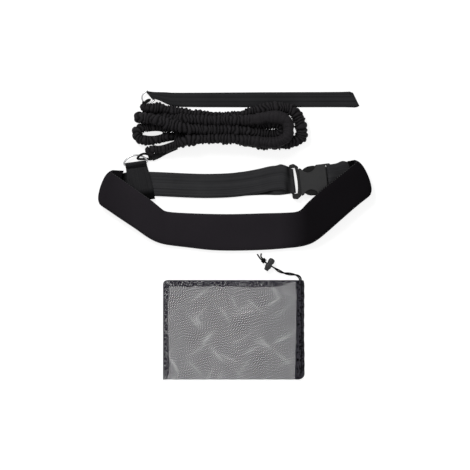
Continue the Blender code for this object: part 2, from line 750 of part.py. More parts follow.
def tube(name, points, radii, sides, surface, bore=None):
    """A tube with its own radius at each point, solid or with a bore."""
    lines = frames(points)
    rings = [ring_of(p, f, r, sides) for p, f, r in zip(points, lines, radii)]
    faces = []
    rows = len(points)
    for i in range(rows - 1):
        for k in range(sides):
            j = (k + 1) % sides
            faces.append((i * sides + k, i * sides + j, (i + 1) * sides + j, (i + 1) * sides + k))
    if bore is None:
        faces.append(tuple(range(sides)))
        faces.append(tuple(range((rows - 1) * sides, rows * sides)))
    else:
        rings += [ring_of(p, f, bore, sides) for p, f in zip(points, lines)]
        start = rows * sides
        for i in range(rows - 1):
            for k in range(sides):
                j = (k + 1) % sides
                a = start + i * sides
                faces.append((a + k, a + j, a + sides + j, a + sides + k))
        for end in (0, (rows - 1) * sides):
            for k in range(sides):
                j = (k + 1) % sides
                faces.append((end + k, end + j, start + end + j, start + end + k))
    vertices = [v for ring in rings for v in ring]
    return place(name, mesh_from(name, vertices, faces), surface)


def least_gap(points, radius):
    """The least gap between two stretches of one tube."""
    runs = [0.0]
    for a, b in zip(points, points[1:]):
        runs.append(runs[-1] + (b - a).length)
    least = 1000.0
    for i, a in enumerate(points):
        for j in range(i + 1, len(points)):
            if runs[j] - runs[i] > 3.4 * radius:
                least = min(least, (a - points[j]).length - 2 * radius)
    return least


def make_tether(fabric, latex):
    """The gathered sleeve, folded into a hank, and the elastic tube inside it."""
    places = gathered([Vector(p) for p in HANK_ROUTE])
    radii = [SLEEVE_RIDGE if i % 2 else SLEEVE_GROOVE for i in range(len(places))]
    tube("tether_sleeve", places, radii, 8, fabric, bore=SLEEVE_BORE)
    tube("tether_core", places[1:-1], [CORE_RADIUS] * (len(places) - 2), 5, latex)
    fine = evenly([Vector(p) for p in HANK_ROUTE], 2.0)
    print(f"tether length {route_length(fine):.0f} mm in {len(places)} rings")
    print(f"tether least gap to itself {least_gap(fine, SLEEVE_RIDGE):.2f} mm")


# The middle lines of the tether's two ends. Each loop goes over and under the wire of its ring.
BELT_BAND = [
    (-166.2, 154.2, 3.2), (-158.0, 157.4, 2.4), (-150.0, 161.4, 2.3), (-143.4, 165.2, 2.3), (-130.0, 171.5, 2.3),
    (-117.0, 177.0, 2.3),
]
BELT_LOOP = [
    (-173.0, 160.4, 5.8), (-181.0, 162.4, 9.8), (-188.6, 160.0, 12.1), (-192.8, 156.2, 11.2), (-194.6, 153.4, 7.4),
    (-193.6, 151.6, 3.4), (-189.0, 151.0, 1.95), (-184.0, 151.0, 1.95), (-176.0, 151.6, 1.95),
]
ANCHOR_CUFF = [(-175.0, 252.5, 8.7), (-178.0, 253.3, 8.0)]
ANCHOR_CUFF_RADII = [7.4, 7.2, 6.0, 4.6]
ANCHOR_LOOP = [
    (-182.2, 259.6, 11.0), (-178.6, 264.0, 12.4), (-173.6, 267.4, 10.4), (-171.4, 268.8, 6.0),
    (-174.0, 266.2, 2.4), (-178.4, 262.4, 1.95), (-183.0, 257.8, 2.4), (-184.2, 254.2, 4.6),
]


def sewn_loop(name, face, back, middle, rope):
    """A rope loop whose two ends stand side by side against the face that they are sewn into."""
    face = Vector(face)
    out = (face - Vector(back)).normalized()
    across = Vector((out.y, -out.x, 0.0)).normalized() * (LOOP_CORD / 2 + 0.15)
    near = out * GAP * 2.0
    straight = out * LOOP_CORD
    points = [face + across + near, face + across + straight]
    points += [Vector(p) for p in middle]
    points += [face - across + straight, face - across + near]
    cord(name, evenly(points, LOOP_CORD * 0.9), LOOP_CORD, rope)


def make_ends(rope, fabric):
    """The two ends of the tether, each a rope loop whose ends are sewn into a band or a cuff."""
    points = evenly([Vector(p) for p in BELT_BAND], 6.0)
    angles = []
    for i in range(len(points)):
        along = points[min(len(points) - 1, i + 1)] - points[max(0, i - 1)]
        angles.append(math.degrees(math.atan2(along.y, along.x)) + 90)
    strip("belt_end_band", stations_on(points, angles), flat_profile(BAND_WIDTH, BAND_THICKNESS), fabric)
    sewn_loop("belt_end_loop", points[0], points[1], BELT_LOOP, rope)
    start = Vector(HANK_ROUTE[0])
    back = (start - Vector(HANK_ROUTE[1])).normalized()
    cuff = [start + back * GAP * 1.2, start + back * 2.4, *(Vector(p) for p in ANCHOR_CUFF)]
    tube("anchor_end_cuff", cuff, ANCHOR_CUFF_RADII, 12, fabric)
    sewn_loop("anchor_end_loop", cuff[-1], cuff[-2], ANCHOR_LOOP, rope)


ANCHOR_BAR_ENDS = ((-175.8, 288.6), (-160.2, 270.5))
ANCHOR_RING_ROW = (-49.3, 20.4)
ANCHOR_SLANT_ANGLE = -64.0
ANCHOR_LAYER_SHIFT = 0.8
LOWER_LAY = WEBBING_THICKNESS / 2
UPPER_LAY = LOWER_LAY + WEBBING_THICKNESS + GAP
# The strap's two layers, as (x, y, upper height, lower height, angle of the line across, width)
ANCHOR_ROWS = [
    (-156.0, 277.2, 7.6, 2.4, -58.0, 20.5),
    (-134.0, 272.6, 4.2, 1.2, -78.0, 25.4),
    (-108.0, 270.2, UPPER_LAY, LOWER_LAY, -88.0, ANCHOR_WEBBING_WIDTH - 2.8),
    (60.0, 270.4, UPPER_LAY, LOWER_LAY, -90.0, ANCHOR_WEBBING_WIDTH - 1.2),
    (214.0, 270.8, UPPER_LAY, LOWER_LAY, -86.0, ANCHOR_WEBBING_WIDTH - 0.6),
    (234.0, 271.0, UPPER_LAY, LOWER_LAY, ANCHOR_SLANT_ANGLE - 4.0, ANCHOR_WEBBING_WIDTH + 3.0),
    (240.6, 271.0, UPPER_LAY, LOWER_LAY, ANCHOR_SLANT_ANGLE, ANCHOR_WEBBING_WIDTH - 0.6),
]


def make_anchor(fabric, steel):
    """The loop of webbing that goes round a fixed post, and its ring."""
    low, high = (Vector((*p, ANCHOR_RING_HEIGHT)) for p in ANCHOR_BAR_ENDS)
    bar = (high - low).normalized()
    out = Vector((bar.y, -bar.x, 0.0))
    if out.x > 0:
        out = -out
    middle = (low + high) / 2
    outline = ring_outline((high - low).length, ANCHOR_RING_SIDE, ANCHOR_RING_DEPTH, ANCHOR_RING_CORNER)
    cord("anchor_ring", [middle + bar * x + out * y for x, y in outline], ANCHOR_RING_WIRE, steel, cyclic=True)

    layer = WEBBING_THICKNESS
    turn_radius = ANCHOR_RING_WIRE / 2 + GAP + layer / 2
    far_turn = (UPPER_LAY - LOWER_LAY) / 2
    rows = []
    for k in range(7):
        turn = math.pi * k / 6
        place_on = middle + out * (turn_radius * math.sin(turn))
        rows.append((place_on.x, place_on.y, ANCHOR_RING_HEIGHT - turn_radius * math.cos(turn), *ANCHOR_RING_ROW))
    last = len(ANCHOR_ROWS) - 1
    for i, (x, y, upper, _, angle, width) in enumerate(ANCHOR_ROWS):
        rows.append((x, y + ANCHOR_LAYER_SHIFT * min(1.0, i / 2), upper, angle, width))
    far_x, far_y, _, _, far_angle, far_width = ANCHOR_ROWS[last]
    for k in range(1, 6):
        turn = math.pi * k / 6
        rows.append(
            (far_x + far_turn * math.sin(turn), far_y + ANCHOR_LAYER_SHIFT * math.cos(turn),
             (UPPER_LAY + LOWER_LAY) / 2 + far_turn * math.cos(turn), far_angle, far_width)
        )
    for i in range(last, -1, -1):
        x, y, _, lower, angle, width = ANCHOR_ROWS[i]
        rows.append((x, y - ANCHOR_LAYER_SHIFT * min(1.0, i / 2), lower, angle, width))
    points = [Vector(row[:3]) for row in rows]
    stations = stations_on(points, [row[3] for row in rows], closed=True)
    for station in stations:
        station.stretch = 1.0
    strip("anchor_strap", stations, flat_profile([row[4] for row in rows], layer), fabric, closed=True)


def bar_edges(low, high, count, opening):
    """The edges of evenly spaced bars with openings of one size between them."""
    bar = (high - low - count * opening) / (count + 1)
    out = []
    for k in range(count + 1):
        start = low + k * (bar + opening)
        out += [start, start + bar]
    return out


def lattice(name, low, high, bottom, top, surface):
    """A flat panel with a plain grid of openings."""
    across, up = (bar_edges(low[k], high[k], PANEL_OPENINGS[k], OPENING_SIZE[k]) for k in (0, 1))
    wide = len(across)
    layer = wide * len(up)
    vertices = [(x, y, z) for z in (bottom, top) for y in up for x in across]
    faces = []

    def filled(i, j):
        return 0 <= i < wide - 1 and 0 <= j < len(up) - 1 and not (i % 2 and j % 2)

    for j in range(len(up) - 1):
        for i in range(wide - 1):
            if not filled(i, j):
                continue
            a, b, c, d = j * wide + i, j * wide + i + 1, (j + 1) * wide + i + 1, (j + 1) * wide + i
            faces += [(d, c, b, a), (a + layer, b + layer, c + layer, d + layer)]
            for beside, (e, f) in (((i, j - 1), (a, b)), ((i + 1, j), (b, c)), ((i, j + 1), (c, d)), ((i - 1, j), (d, a))):
                if not filled(*beside):
                    faces.append((e, f, f + layer, e + layer))
    return place(name, mesh_from(name, vertices, faces), surface)


def make_bag(net, binding):
    """Two net panels in a hem, with a channel for the drawstring along the mouth."""
    inner_left = BAG_LEFT + HEM_WIDTH
    inner_top = BAG_TOP - HEM_WIDTH
    channel_left = BAG_RIGHT - CHANNEL_WIDTH
    low = (inner_left + SHELL_GAP, BAG_BOTTOM)
    high = (channel_left - SHELL_GAP, inner_top - SHELL_GAP)
    back_top = PANEL_THICKNESS
    lattice("bag_back_panel", low, high, 0.0, back_top, net)
    lattice("bag_front_panel", low, high, back_top + GAP, back_top + GAP + PANEL_THICKNESS, net)
    hem = [(BAG_LEFT, BAG_BOTTOM), (inner_left, BAG_BOTTOM), (inner_left, inner_top)]
    hem += [(channel_left - SHELL_GAP, inner_top), (channel_left - SHELL_GAP, BAG_TOP)]
    for k in range(5):
        turn = math.radians(90 + 90 * k / 4)
        hem.append(
            (BAG_LEFT + BAG_CORNER * (1 + math.cos(turn)), BAG_TOP - BAG_CORNER * (1 - math.sin(turn)))
        )
    slab("bag_hem", list(reversed(hem)), 0.0, HEM_HEIGHT, binding)
    channel = slab(
        "bag_channel", rounded(box_outline(channel_left, BAG_BOTTOM, BAG_RIGHT, BAG_TOP), 1.5, 2),
        0.0, CHANNEL_HEIGHT, binding,
    )
    middle = channel_left + CHANNEL_WIDTH / 2
    bore_half = DRAWCORD_SPACING / 2 + DRAWCORD / 2 + 1.6
    bore = slab(
        "channel_cutter", box_outline(middle - bore_half, BAG_BOTTOM + 8.0, middle + bore_half, BAG_TOP + 5.0),
        CHANNEL_HEIGHT / 2 - DRAWCORD / 2 - GAP, CHANNEL_HEIGHT / 2 + DRAWCORD / 2 + GAP,
    )
    combine(channel, bore, "DIFFERENCE")


def drawcord_line():
    """The middle line of the two strands of the drawstring, from the channel to its loose ends."""
    middle = BAG_RIGHT - CHANNEL_WIDTH / 2
    inside = CHANNEL_HEIGHT / 2
    rest = DRAWCORD / 2 + 0.05
    height = LOCK_DIAMETER / 2
    centre = Vector((*LOCK_CENTRE, height))
    along = turned(LOCK_ANGLE - 90)
    before = centre + along * (LOCK_DIAMETER / 2 + LOCK_TO_BAG)
    after = centre - along * (LOCK_DIAMETER / 2 + LOCK_TO_KNOT)
    return [
        (middle, BAG_BOTTOM + 14.0, inside), (middle, -220.0, inside), (middle, -150.0, inside),
        (middle, -104.0, inside), (middle, -94.0, inside), (129.6, -85.4, 2.2), (122.0, -80.0, rest),
        (107.0, -77.6, rest), (98.0, -76.0, 2.0), (88.0, -71.8, 4.8), before, centre, after,
        (*KNOT_CENTRE, 5.6), (52.4, -46.8, 5.0),
    ]


DRAWCORD_ENDS = ([(47.4, -43.0, 3.2), (44.8, -38.4, 1.5)], [(51.8, -41.8, 3.2), (52.6, -37.0, 1.5)])


def make_drawstring(rope):
    """One cord that goes down the channel and back, through the lock and the knot."""
    line = evenly([Vector(p) for p in drawcord_line()], 7.0)
    for point in line:
        point.z = max(point.z, DRAWCORD / 2 + 0.02)
    last = len(line) - 1
    sides = []
    for i in range(last + 1):
        along = line[min(last, i + 1)] - line[max(0, i - 1)]
        sides.append(Vector((-along.y, along.x, 0.0)).normalized() * (DRAWCORD_SPACING / 2))
    left = [p + s for p, s in zip(line, sides)]
    right = [p - s for p, s in zip(line, sides)]
    turn = []
    start = line[0]
    for k in range(1, 6):
        angle = math.pi * k / 6
        turn.append(start + sides[0] * math.cos(angle) - Vector((0, math.sin(angle) * DRAWCORD_SPACING / 2, 0)))
    first = [Vector(p) for p in reversed(DRAWCORD_ENDS[0])]
    second = [Vector(p) for p in DRAWCORD_ENDS[1]]
    points = first + list(reversed(left)) + turn + right + second
    cord("drawstring", points, DRAWCORD, rope)
    return line


def make_knot(line, rope):
    """The knot that keeps the lock on the drawstring."""
    plan = Vector((*KNOT_CENTRE, LOCK_DIAMETER / 2))
    near = min(range(1, len(line) - 1), key=lambda i: (line[i] - plan).length)
    along = (line[near + 1] - line[near - 1]).normalized()
    centre = Vector((*KNOT_CENTRE, line[near].z))
    mesh = bpy.data.meshes.new("drawstring_knot")
    work = bmesh.new()
    bmesh.ops.create_icosphere(work, subdivisions=2, radius=KNOT_DIAMETER / 2)
    work.to_mesh(mesh)
    work.free()
    knot = place("drawstring_knot", mesh, rope, centre)
    half = DRAWCORD_SPACING / 2 + DRAWCORD / 2 + GAP
    tall = DRAWCORD / 2 + 2 * GAP
    angle = math.degrees(math.atan2(along.y, along.x))
    hole = slab(
        "knot_cutter", box_outline(-10.0, -half, 10.0, half), centre.z - tall, centre.z + tall, None,
        (centre.x, centre.y, 0.0), angle,
    )
    combine(knot, hole, "DIFFERENCE")


def make_lock(plastic):
    """The cord lock: a barrel and its sprung button, both with the hole that the drawstring runs through."""
    half = DRAWCORD_SPACING / 2 + DRAWCORD / 2 + GAP
    tall = DRAWCORD / 2 + GAP
    stem_start = -half - 1.4
    stem_end = LOCK_ABOVE + BUTTON_TRAVEL + 0.5

    def barrel(name, radius, start, end, surface, segments=20):
        made = cylinder(name, radius, end - start, surface, segments)
        made.data.transform(Matrix.Translation((start * MM, 0, 0)))
        return made

    body = barrel("cordlock_body", LOCK_DIAMETER / 2, -LOCK_BELOW, LOCK_ABOVE, plastic)
    bore = barrel("lock_bore_cutter", BUTTON_DIAMETER / 2 + GAP, 2.0 - LOCK_BELOW, LOCK_ABOVE + 1.0, None)
    hole = slab("lock_hole_cutter", box_outline(-half, -10.0, half, 10.0), -tall, tall)
    button = barrel("cordlock_button", BUTTON_DIAMETER / 2, stem_start, stem_end + 1.0, plastic, 16)
    head = barrel("button_head_body", BUTTON_HEAD_DIAMETER / 2, stem_end, stem_end + BUTTON_HEAD_LENGTH, plastic)
    button_hole = slab(
        "button_hole_cutter", box_outline(0.1 - half, -10.0, half + BUTTON_TRAVEL, 10.0), -tall, tall
    )
    for thing in (body, bore, hole, button, head, button_hole):
        thing.location = Vector((*LOCK_CENTRE, LOCK_DIAMETER / 2)) * MM
        thing.rotation_euler.z = math.radians(LOCK_ANGLE)
    combine(body, bore, "DIFFERENCE")
    combine(body, hole, "DIFFERENCE")
    combine(button, head, "UNION")
    combine(button, button_hole, "DIFFERENCE")


def main():
    clear_scene()
    material("cutter", (0.5, 0.5, 0.5), 0.5)
    pad_fabric = material("pad_fabric", (0.014, 0.012, 0.015), 0.85)
    foam = material("foam", (0.05, 0.05, 0.055), 0.9)
    webbing = material("webbing", (0.018, 0.018, 0.02), 0.8)
    plastic = material("acetal", (0.045, 0.045, 0.047), 0.45)
    steel = material("steel", (0.55, 0.55, 0.56), 0.3, 1.0)
    gathered_fabric = material("gathered_fabric", (0.014, 0.013, 0.014), 0.85)
    latex = material("latex", (0.42, 0.33, 0.2), 0.5)
    rope = material("rope", (0.014, 0.014, 0.015), 0.8)
    net = material("net", (0.03, 0.03, 0.032), 0.8)

    pad = make_pad(pad_fabric, foam)
    make_webbing(pad, webbing)
    make_buckle(plastic)
    make_tab(webbing)
    make_belt_ring(steel)
    make_tether(gathered_fabric, latex)
    make_ends(rope, gathered_fabric)
    make_anchor(webbing, steel)
    make_bag(net, webbing)
    line = make_drawstring(rope)
    make_knot(line, rope)
    make_lock(plastic)


main()
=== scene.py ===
"""The looks of a swim resistance belt laid flat: padded belt, gathered elastic tether, anchor strap and bag.
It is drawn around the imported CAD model. Tables are in millimetres and become metres where a piece is made."""

import math

import bmesh
import bpy
import numpy as np
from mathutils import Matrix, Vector


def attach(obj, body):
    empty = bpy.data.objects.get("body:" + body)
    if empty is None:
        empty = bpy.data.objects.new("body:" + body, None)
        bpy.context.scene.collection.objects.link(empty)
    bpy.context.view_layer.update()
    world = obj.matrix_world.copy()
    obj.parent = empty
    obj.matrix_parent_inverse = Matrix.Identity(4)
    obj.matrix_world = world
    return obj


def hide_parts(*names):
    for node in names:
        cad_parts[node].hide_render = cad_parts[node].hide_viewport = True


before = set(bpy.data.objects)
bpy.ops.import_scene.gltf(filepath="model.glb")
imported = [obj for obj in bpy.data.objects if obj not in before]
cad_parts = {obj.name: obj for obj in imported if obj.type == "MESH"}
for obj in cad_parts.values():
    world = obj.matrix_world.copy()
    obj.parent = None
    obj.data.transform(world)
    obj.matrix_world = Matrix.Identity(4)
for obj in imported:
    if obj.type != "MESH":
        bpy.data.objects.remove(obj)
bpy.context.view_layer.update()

MM = 0.001
UP = np.array([0.0, 0.0, 1.0])
PICTURE_SPAN = 940.0  # what the square photograph spans
CAMERA_HEIGHT = 8.0
SKY = 0.36  # the strength of the light from all round


def link(made, surface):
    """Puts a new object with its material into the scene."""
    made.data.materials.append(surface)
    bpy.context.scene.collection.objects.link(made)
    return made


def dress(made, body, kind, *nodes):
    """Puts a piece on its body, in place of the CAD nodes that it stands for."""
    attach(made, body)
    if nodes:
        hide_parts(*nodes)


def mesh_piece(name, vertices, faces, surface, uv=None):
    """A mesh piece from points in millimetres. uv holds one (u, v) for each corner of each face."""
    mesh = bpy.data.meshes.new(name)
    vertices = (np.asarray(vertices, float) * MM).tolist()
    mesh.from_pydata(vertices, [], [tuple(int(k) for k in f) for f in faces])
    if uv is not None:
        layer = mesh.uv_layers.new(name="strip")
        layer.data.foreach_set("uv", np.asarray(uv, np.float32).ravel())
    mesh.validate()
    mesh.shade_smooth()
    return link(bpy.data.objects.new(name, mesh), surface)


def places(made):
    """Where a piece's vertices are, in millimetres."""
    return np.array([v.co for v in made.data.vertices]) / MM


def turned(angle):
    """The unit vector in the plan at an angle in degrees from +x."""
    return np.array([math.cos(math.radians(angle)), math.sin(math.radians(angle)), 0.0])


def unit(rows):
    """Rows of vectors, each made one long."""
    rows = np.asarray(rows, float)
    return rows / np.maximum(np.linalg.norm(rows, axis=-1, keepdims=True), 1e-9)


def smooth_rows(rows, per_span):
    """A smooth curve through rows of numbers, with per_span steps between two of them."""
    rows = np.asarray(rows, float)
    rows = np.vstack([rows[0] * 2 - rows[1], rows, rows[-1] * 2 - rows[-2]])
    out = []
    for a, b, c, d in zip(rows, rows[1:], rows[2:], rows[3:]):
        for k in range(per_span):
            t = k / per_span
            curve = b * 2 + (c - a) * t + (a * 2 - b * 5 + c * 4 - d) * t**2
            out.append((curve + (b * 3 - a - c * 3 + d) * t**3) / 2)
    out.append(rows[-2])
    return np.array(out)


def arc(first, last, steps):
    """The cosine and the sine at evenly spaced angles in degrees."""
    return [(math.cos(a), math.sin(a)) for a in np.radians(np.linspace(first, last, steps + 1))]


def evened(values, reach):
    """Each value's mean with its neighbours on both sides."""
    count = 2 * reach + 1
    return np.convolve(np.pad(values, reach, mode="edge"), np.ones(count) / count, mode="valid")


def runs_of(points):
    """How far along its line each point lies."""
    steps = np.linalg.norm(np.diff(points, axis=0), axis=1)
    return np.concatenate([[0.0], np.cumsum(steps)])


def evenly(points, step):
    """Points at one spacing along a smooth curve through the given ones."""
    fine = smooth_rows(points, 16)
    runs = runs_of(fine)
    at = np.linspace(0.0, runs[-1], max(2, round(runs[-1] / step)) + 1)
    return np.column_stack([np.interp(at, runs, fine[:, k]) for k in range(fine.shape[1])])


def frames(points):
    """Two crosswise directions at each point of a line, carried along it without twist."""
    ahead = unit(np.gradient(points, axis=0))
    side = unit(np.cross(ahead[0], UP))
    sides = []
    for along in ahead:
        side = unit(side - along * side.dot(along))
        sides.append(side)
    sides = np.array(sides)
    return sides, np.cross(ahead, sides)


def crosswise(ahead):
    """The level direction and the upper one across a line."""
    side = unit(np.cross(ahead, UP))
    return side, np.cross(side, ahead)


def rings(side, up, turn):
    """The directions round a line at each of its points."""
    return np.cos(turn)[None, :, None] * side[:, None] + np.sin(turn)[None, :, None] * up[:, None]


def grid_faces(rows, columns, closed=False):
    """The faces between rows of points that go round, and the row and column where each starts."""
    i, k = np.meshgrid(np.arange(rows if closed else rows - 1), np.arange(columns), indexing="ij")
    j, m = (i + 1) % rows, (k + 1) % columns
    faces = np.stack([i * columns + k, i * columns + m, j * columns + m, j * columns + k], axis=-1)
    return faces.reshape(-1, 4), i.ravel(), k.ravel()


def grid_piece(name, grid, surface, lengths=None, closed=False):
    """A piece from rows of points. With its lengths along and across it has a UV map and closed ends."""
    rows, columns = grid.shape[:2]
    faces, i, k = grid_faces(rows, columns, closed)
    faces, uv = faces.tolist(), None
    if lengths is not None:
        along, across = lengths
        u = np.stack([along[i], along[i], along[i + 1], along[i + 1]], axis=-1)
        v = np.stack([across[k], across[k + 1], across[k + 1], across[k]], axis=-1)
        uv = (np.stack([u, v], axis=-1) * MM).reshape(-1, 2)
        if not closed:
            faces += [list(range(columns))[::-1], list(range((rows - 1) * columns, rows * columns))]
            uv = np.vstack([uv, np.zeros((2 * columns, 2))])
    return mesh_piece(name, grid.reshape(-1, 3), faces, surface, uv)


def tube(name, points, radius, surface, sides=16, closed=False, radii=None):
    """A round tube along a line of points, with its lengths in its UV map."""
    points = np.asarray(points, float)
    if closed:
        points = np.vstack([points, points[:1]])
    turn = 2 * math.pi * np.arange(sides + 1) / sides
    ring = rings(*frames(points), turn)
    if closed:
        ring[-1] = ring[0]
    r = np.full(len(points), radius) if radii is None else radii
    grid = (points[:, None] + ring * r[:, None, None])[:, :-1]
    return grid_piece(name, grid[:-1] if closed else grid, surface, (runs_of(points), turn * radius), closed)


def stations(points, angles, closed=False):
    """Rows of (centre, across, normal) along a line of points, with the plan angle of each line across."""
    points = np.asarray(points, float)
    if closed:
        before, after = np.roll(points, 1, 0), np.roll(points, -1, 0)
    else:
        before = np.vstack([points[:1], points[:-1]])
        after = np.vstack([points[1:], points[-1:]])
    along = unit(after - before)
    across = np.array([turned(a) for a in angles])
    normal = np.cross(along, across)
    long = np.linalg.norm(normal, axis=1, keepdims=True)
    return np.hstack([points, across / long, normal / long])


def finer(rows, per_span, closed=False):
    """The same strip with per_span times as many stations, on smooth curves."""
    if closed:
        turns = np.vstack([rows[-2:], rows, rows[:3]])
        made = smooth_rows(turns, per_span)[2 * per_span : (2 + len(rows)) * per_span]
    else:
        made = smooth_rows(rows, per_span)
    made[:, 6:9] = unit(made[:, 6:9])
    return made


def swept(rows, profile, widths):
    """Points round a section at each station. profile holds (share across, millimetres out)."""
    t = widths[:, None] * profile[None, :, 0]
    h = np.broadcast_to(profile[None, :, 1], t.shape)
    return rows[:, None, 0:3] + rows[:, None, 3:6] * t[..., None] + rows[:, None, 6:9] * h[..., None]


def mended(made, within=0.0, outwards=True):
    """Joins the vertices of a mesh that lie within a distance, and turns its faces outwards."""
    work = bmesh.new()
    work.from_mesh(made.data)
    if within:
        bmesh.ops.remove_doubles(work, verts=work.verts, dist=within)
        bmesh.ops.delete(work, geom=[v for v in work.verts if not v.link_faces], context="VERTS")
    if outwards:
        bmesh.ops.recalc_face_normals(work, faces=work.faces)
    work.to_mesh(made.data)
    work.free()


def closed_profile(top, rim):
    """The outline of a section, from its upper side and its right edge."""
    return np.array(top + rim + [(t, -h) for t, h in reversed(top)] + [(-t, -h) for t, h in rim])


FACE_STEPS = 10
ROUND_SHARE = 0.012  # the share of a webbing's width that each round edge takes
SELVEDGE_START = 0.455
SELVEDGE_RISE = 0.10


def webbing_profile(thickness):
    """The section of a webbing, one wide: flat faces, a fuller selvedge at each edge, and round edges."""
    half = thickness / 2
    top = []
    for k in range(FACE_STEPS + 1):
        t = (0.5 - ROUND_SHARE) * (2 * k / FACE_STEPS - 1)
        top.append((t, half + (SELVEDGE_RISE if abs(t) > SELVEDGE_START else 0.0)))
    rim = [(0.4975, half * 0.55), (0.4995, 0.0), (0.4975, -half * 0.55)]
    return closed_profile(top, rim)


def strip(name, rows, thickness, surface, widths, closed=False):
    """A webbing swept along its stations."""
    profile = webbing_profile(thickness)
    line = np.vstack([rows[:, 0:3], rows[:1, 0:3]]) if closed else rows[:, 0:3]
    around = np.append(profile[:, 0], profile[0, 0]) * np.mean(widths)
    made = grid_piece(name, swept(rows, profile, widths), surface, (runs_of(line), around), closed)
    mended(made)
    return made


def store(made, name, values):
    """Keeps one number for each vertex, for the material to read."""
    layer = made.data.attributes.new(name, "FLOAT", "POINT")
    layer.data.foreach_set("value", np.asarray(values, np.float32).ravel())


LOWEST = 0.05


def laid(made):
    """Lifts what would be under the floor onto it."""
    for vertex in made.data.vertices:
        vertex.co.z = max(vertex.co.z, LOWEST * MM)


STITCH_RADIUS = 0.42
STITCH_LENGTH = 3.4
STITCH_GAP = 1.4
STITCH_SIDES = 6
# A stitch from end to end, as (share of its length, share of its radius, how high it stands)
STITCH_SHAPE = np.array([
    (0.0, 0.35, -0.9), (0.12, 0.9, -0.1), (0.5, 1.0, 0.25), (0.88, 0.9, -0.1), (1.0, 0.35, -0.9),
])


def stitches(name, line):
    """A row of machine stitches along a line of points on a cloth."""
    runs = runs_of(line)
    count = max(1, int(runs[-1] / (STITCH_LENGTH + STITCH_GAP)))
    starts = (np.arange(count) + 0.5) * runs[-1] / count - STITCH_LENGTH / 2
    shares, thick, lift = STITCH_SHAPE.T
    ring, _, _ = grid_faces(len(shares), STITCH_SIDES)
    last = (len(shares) - 1) * STITCH_SIDES
    caps = [list(range(STITCH_SIDES))[::-1], list(range(last, last + STITCH_SIDES))]
    vertices, faces = [], []
    for first in starts:
        at = first + shares * STITCH_LENGTH
        spine = np.column_stack([np.interp(at, runs, line[:, k]) for k in range(3)])
        ahead = unit(spine[-1] - spine[0])
        side, up = crosswise(ahead)
        base = len(vertices)
        for middle, r, low in zip(spine, thick * STITCH_RADIUS, lift * STITCH_RADIUS):
            for cosine, sine in arc(0.0, 360.0, STITCH_SIDES)[:-1]:
                vertices.append(middle + up * (low + r * sine) + side * (r * cosine))
        faces += (ring + base).tolist() + [[base + k for k in cap] for cap in caps]
    return mesh_piece(name, vertices, faces, surfaces["thread"])


surfaces = {}
BLACK = (0.0, 0.0, 0.0, 1.0)


class Nodes:
    """A node tree that is being filled."""

    def __init__(self, tree):
        self.tree = tree

    def set(self, node, inputs):
        """Sets or links a node's inputs."""
        for key, value in inputs.items():
            if isinstance(value, bpy.types.NodeSocket):
                self.tree.links.new(value, node.inputs[key])
            else:
                node.inputs[key].default_value = value

    def add(self, kind, inputs=None, **settings):
        """Adds a node and returns it."""
        node = self.tree.nodes.new("ShaderNode" + kind)
        for key, value in settings.items():
            setattr(node, key, value)
        self.set(node, inputs or {})
        return node

    def math(self, operation, a, b=0.0):
        """One sum on two values."""
        return self.add("Math", {0: a, 1: b}, operation=operation).outputs[0]

    def seen(self, strength):
        """A strength that only camera, glossy and transmission rays meet."""
        path = self.add("LightPath")
        rays = path.outputs["Is Camera Ray"]
        for kind in ("Is Glossy Ray", "Is Transmission Ray"):
            rays = self.math("MAXIMUM", rays, path.outputs[kind])
        return self.math("MULTIPLY", rays, strength)


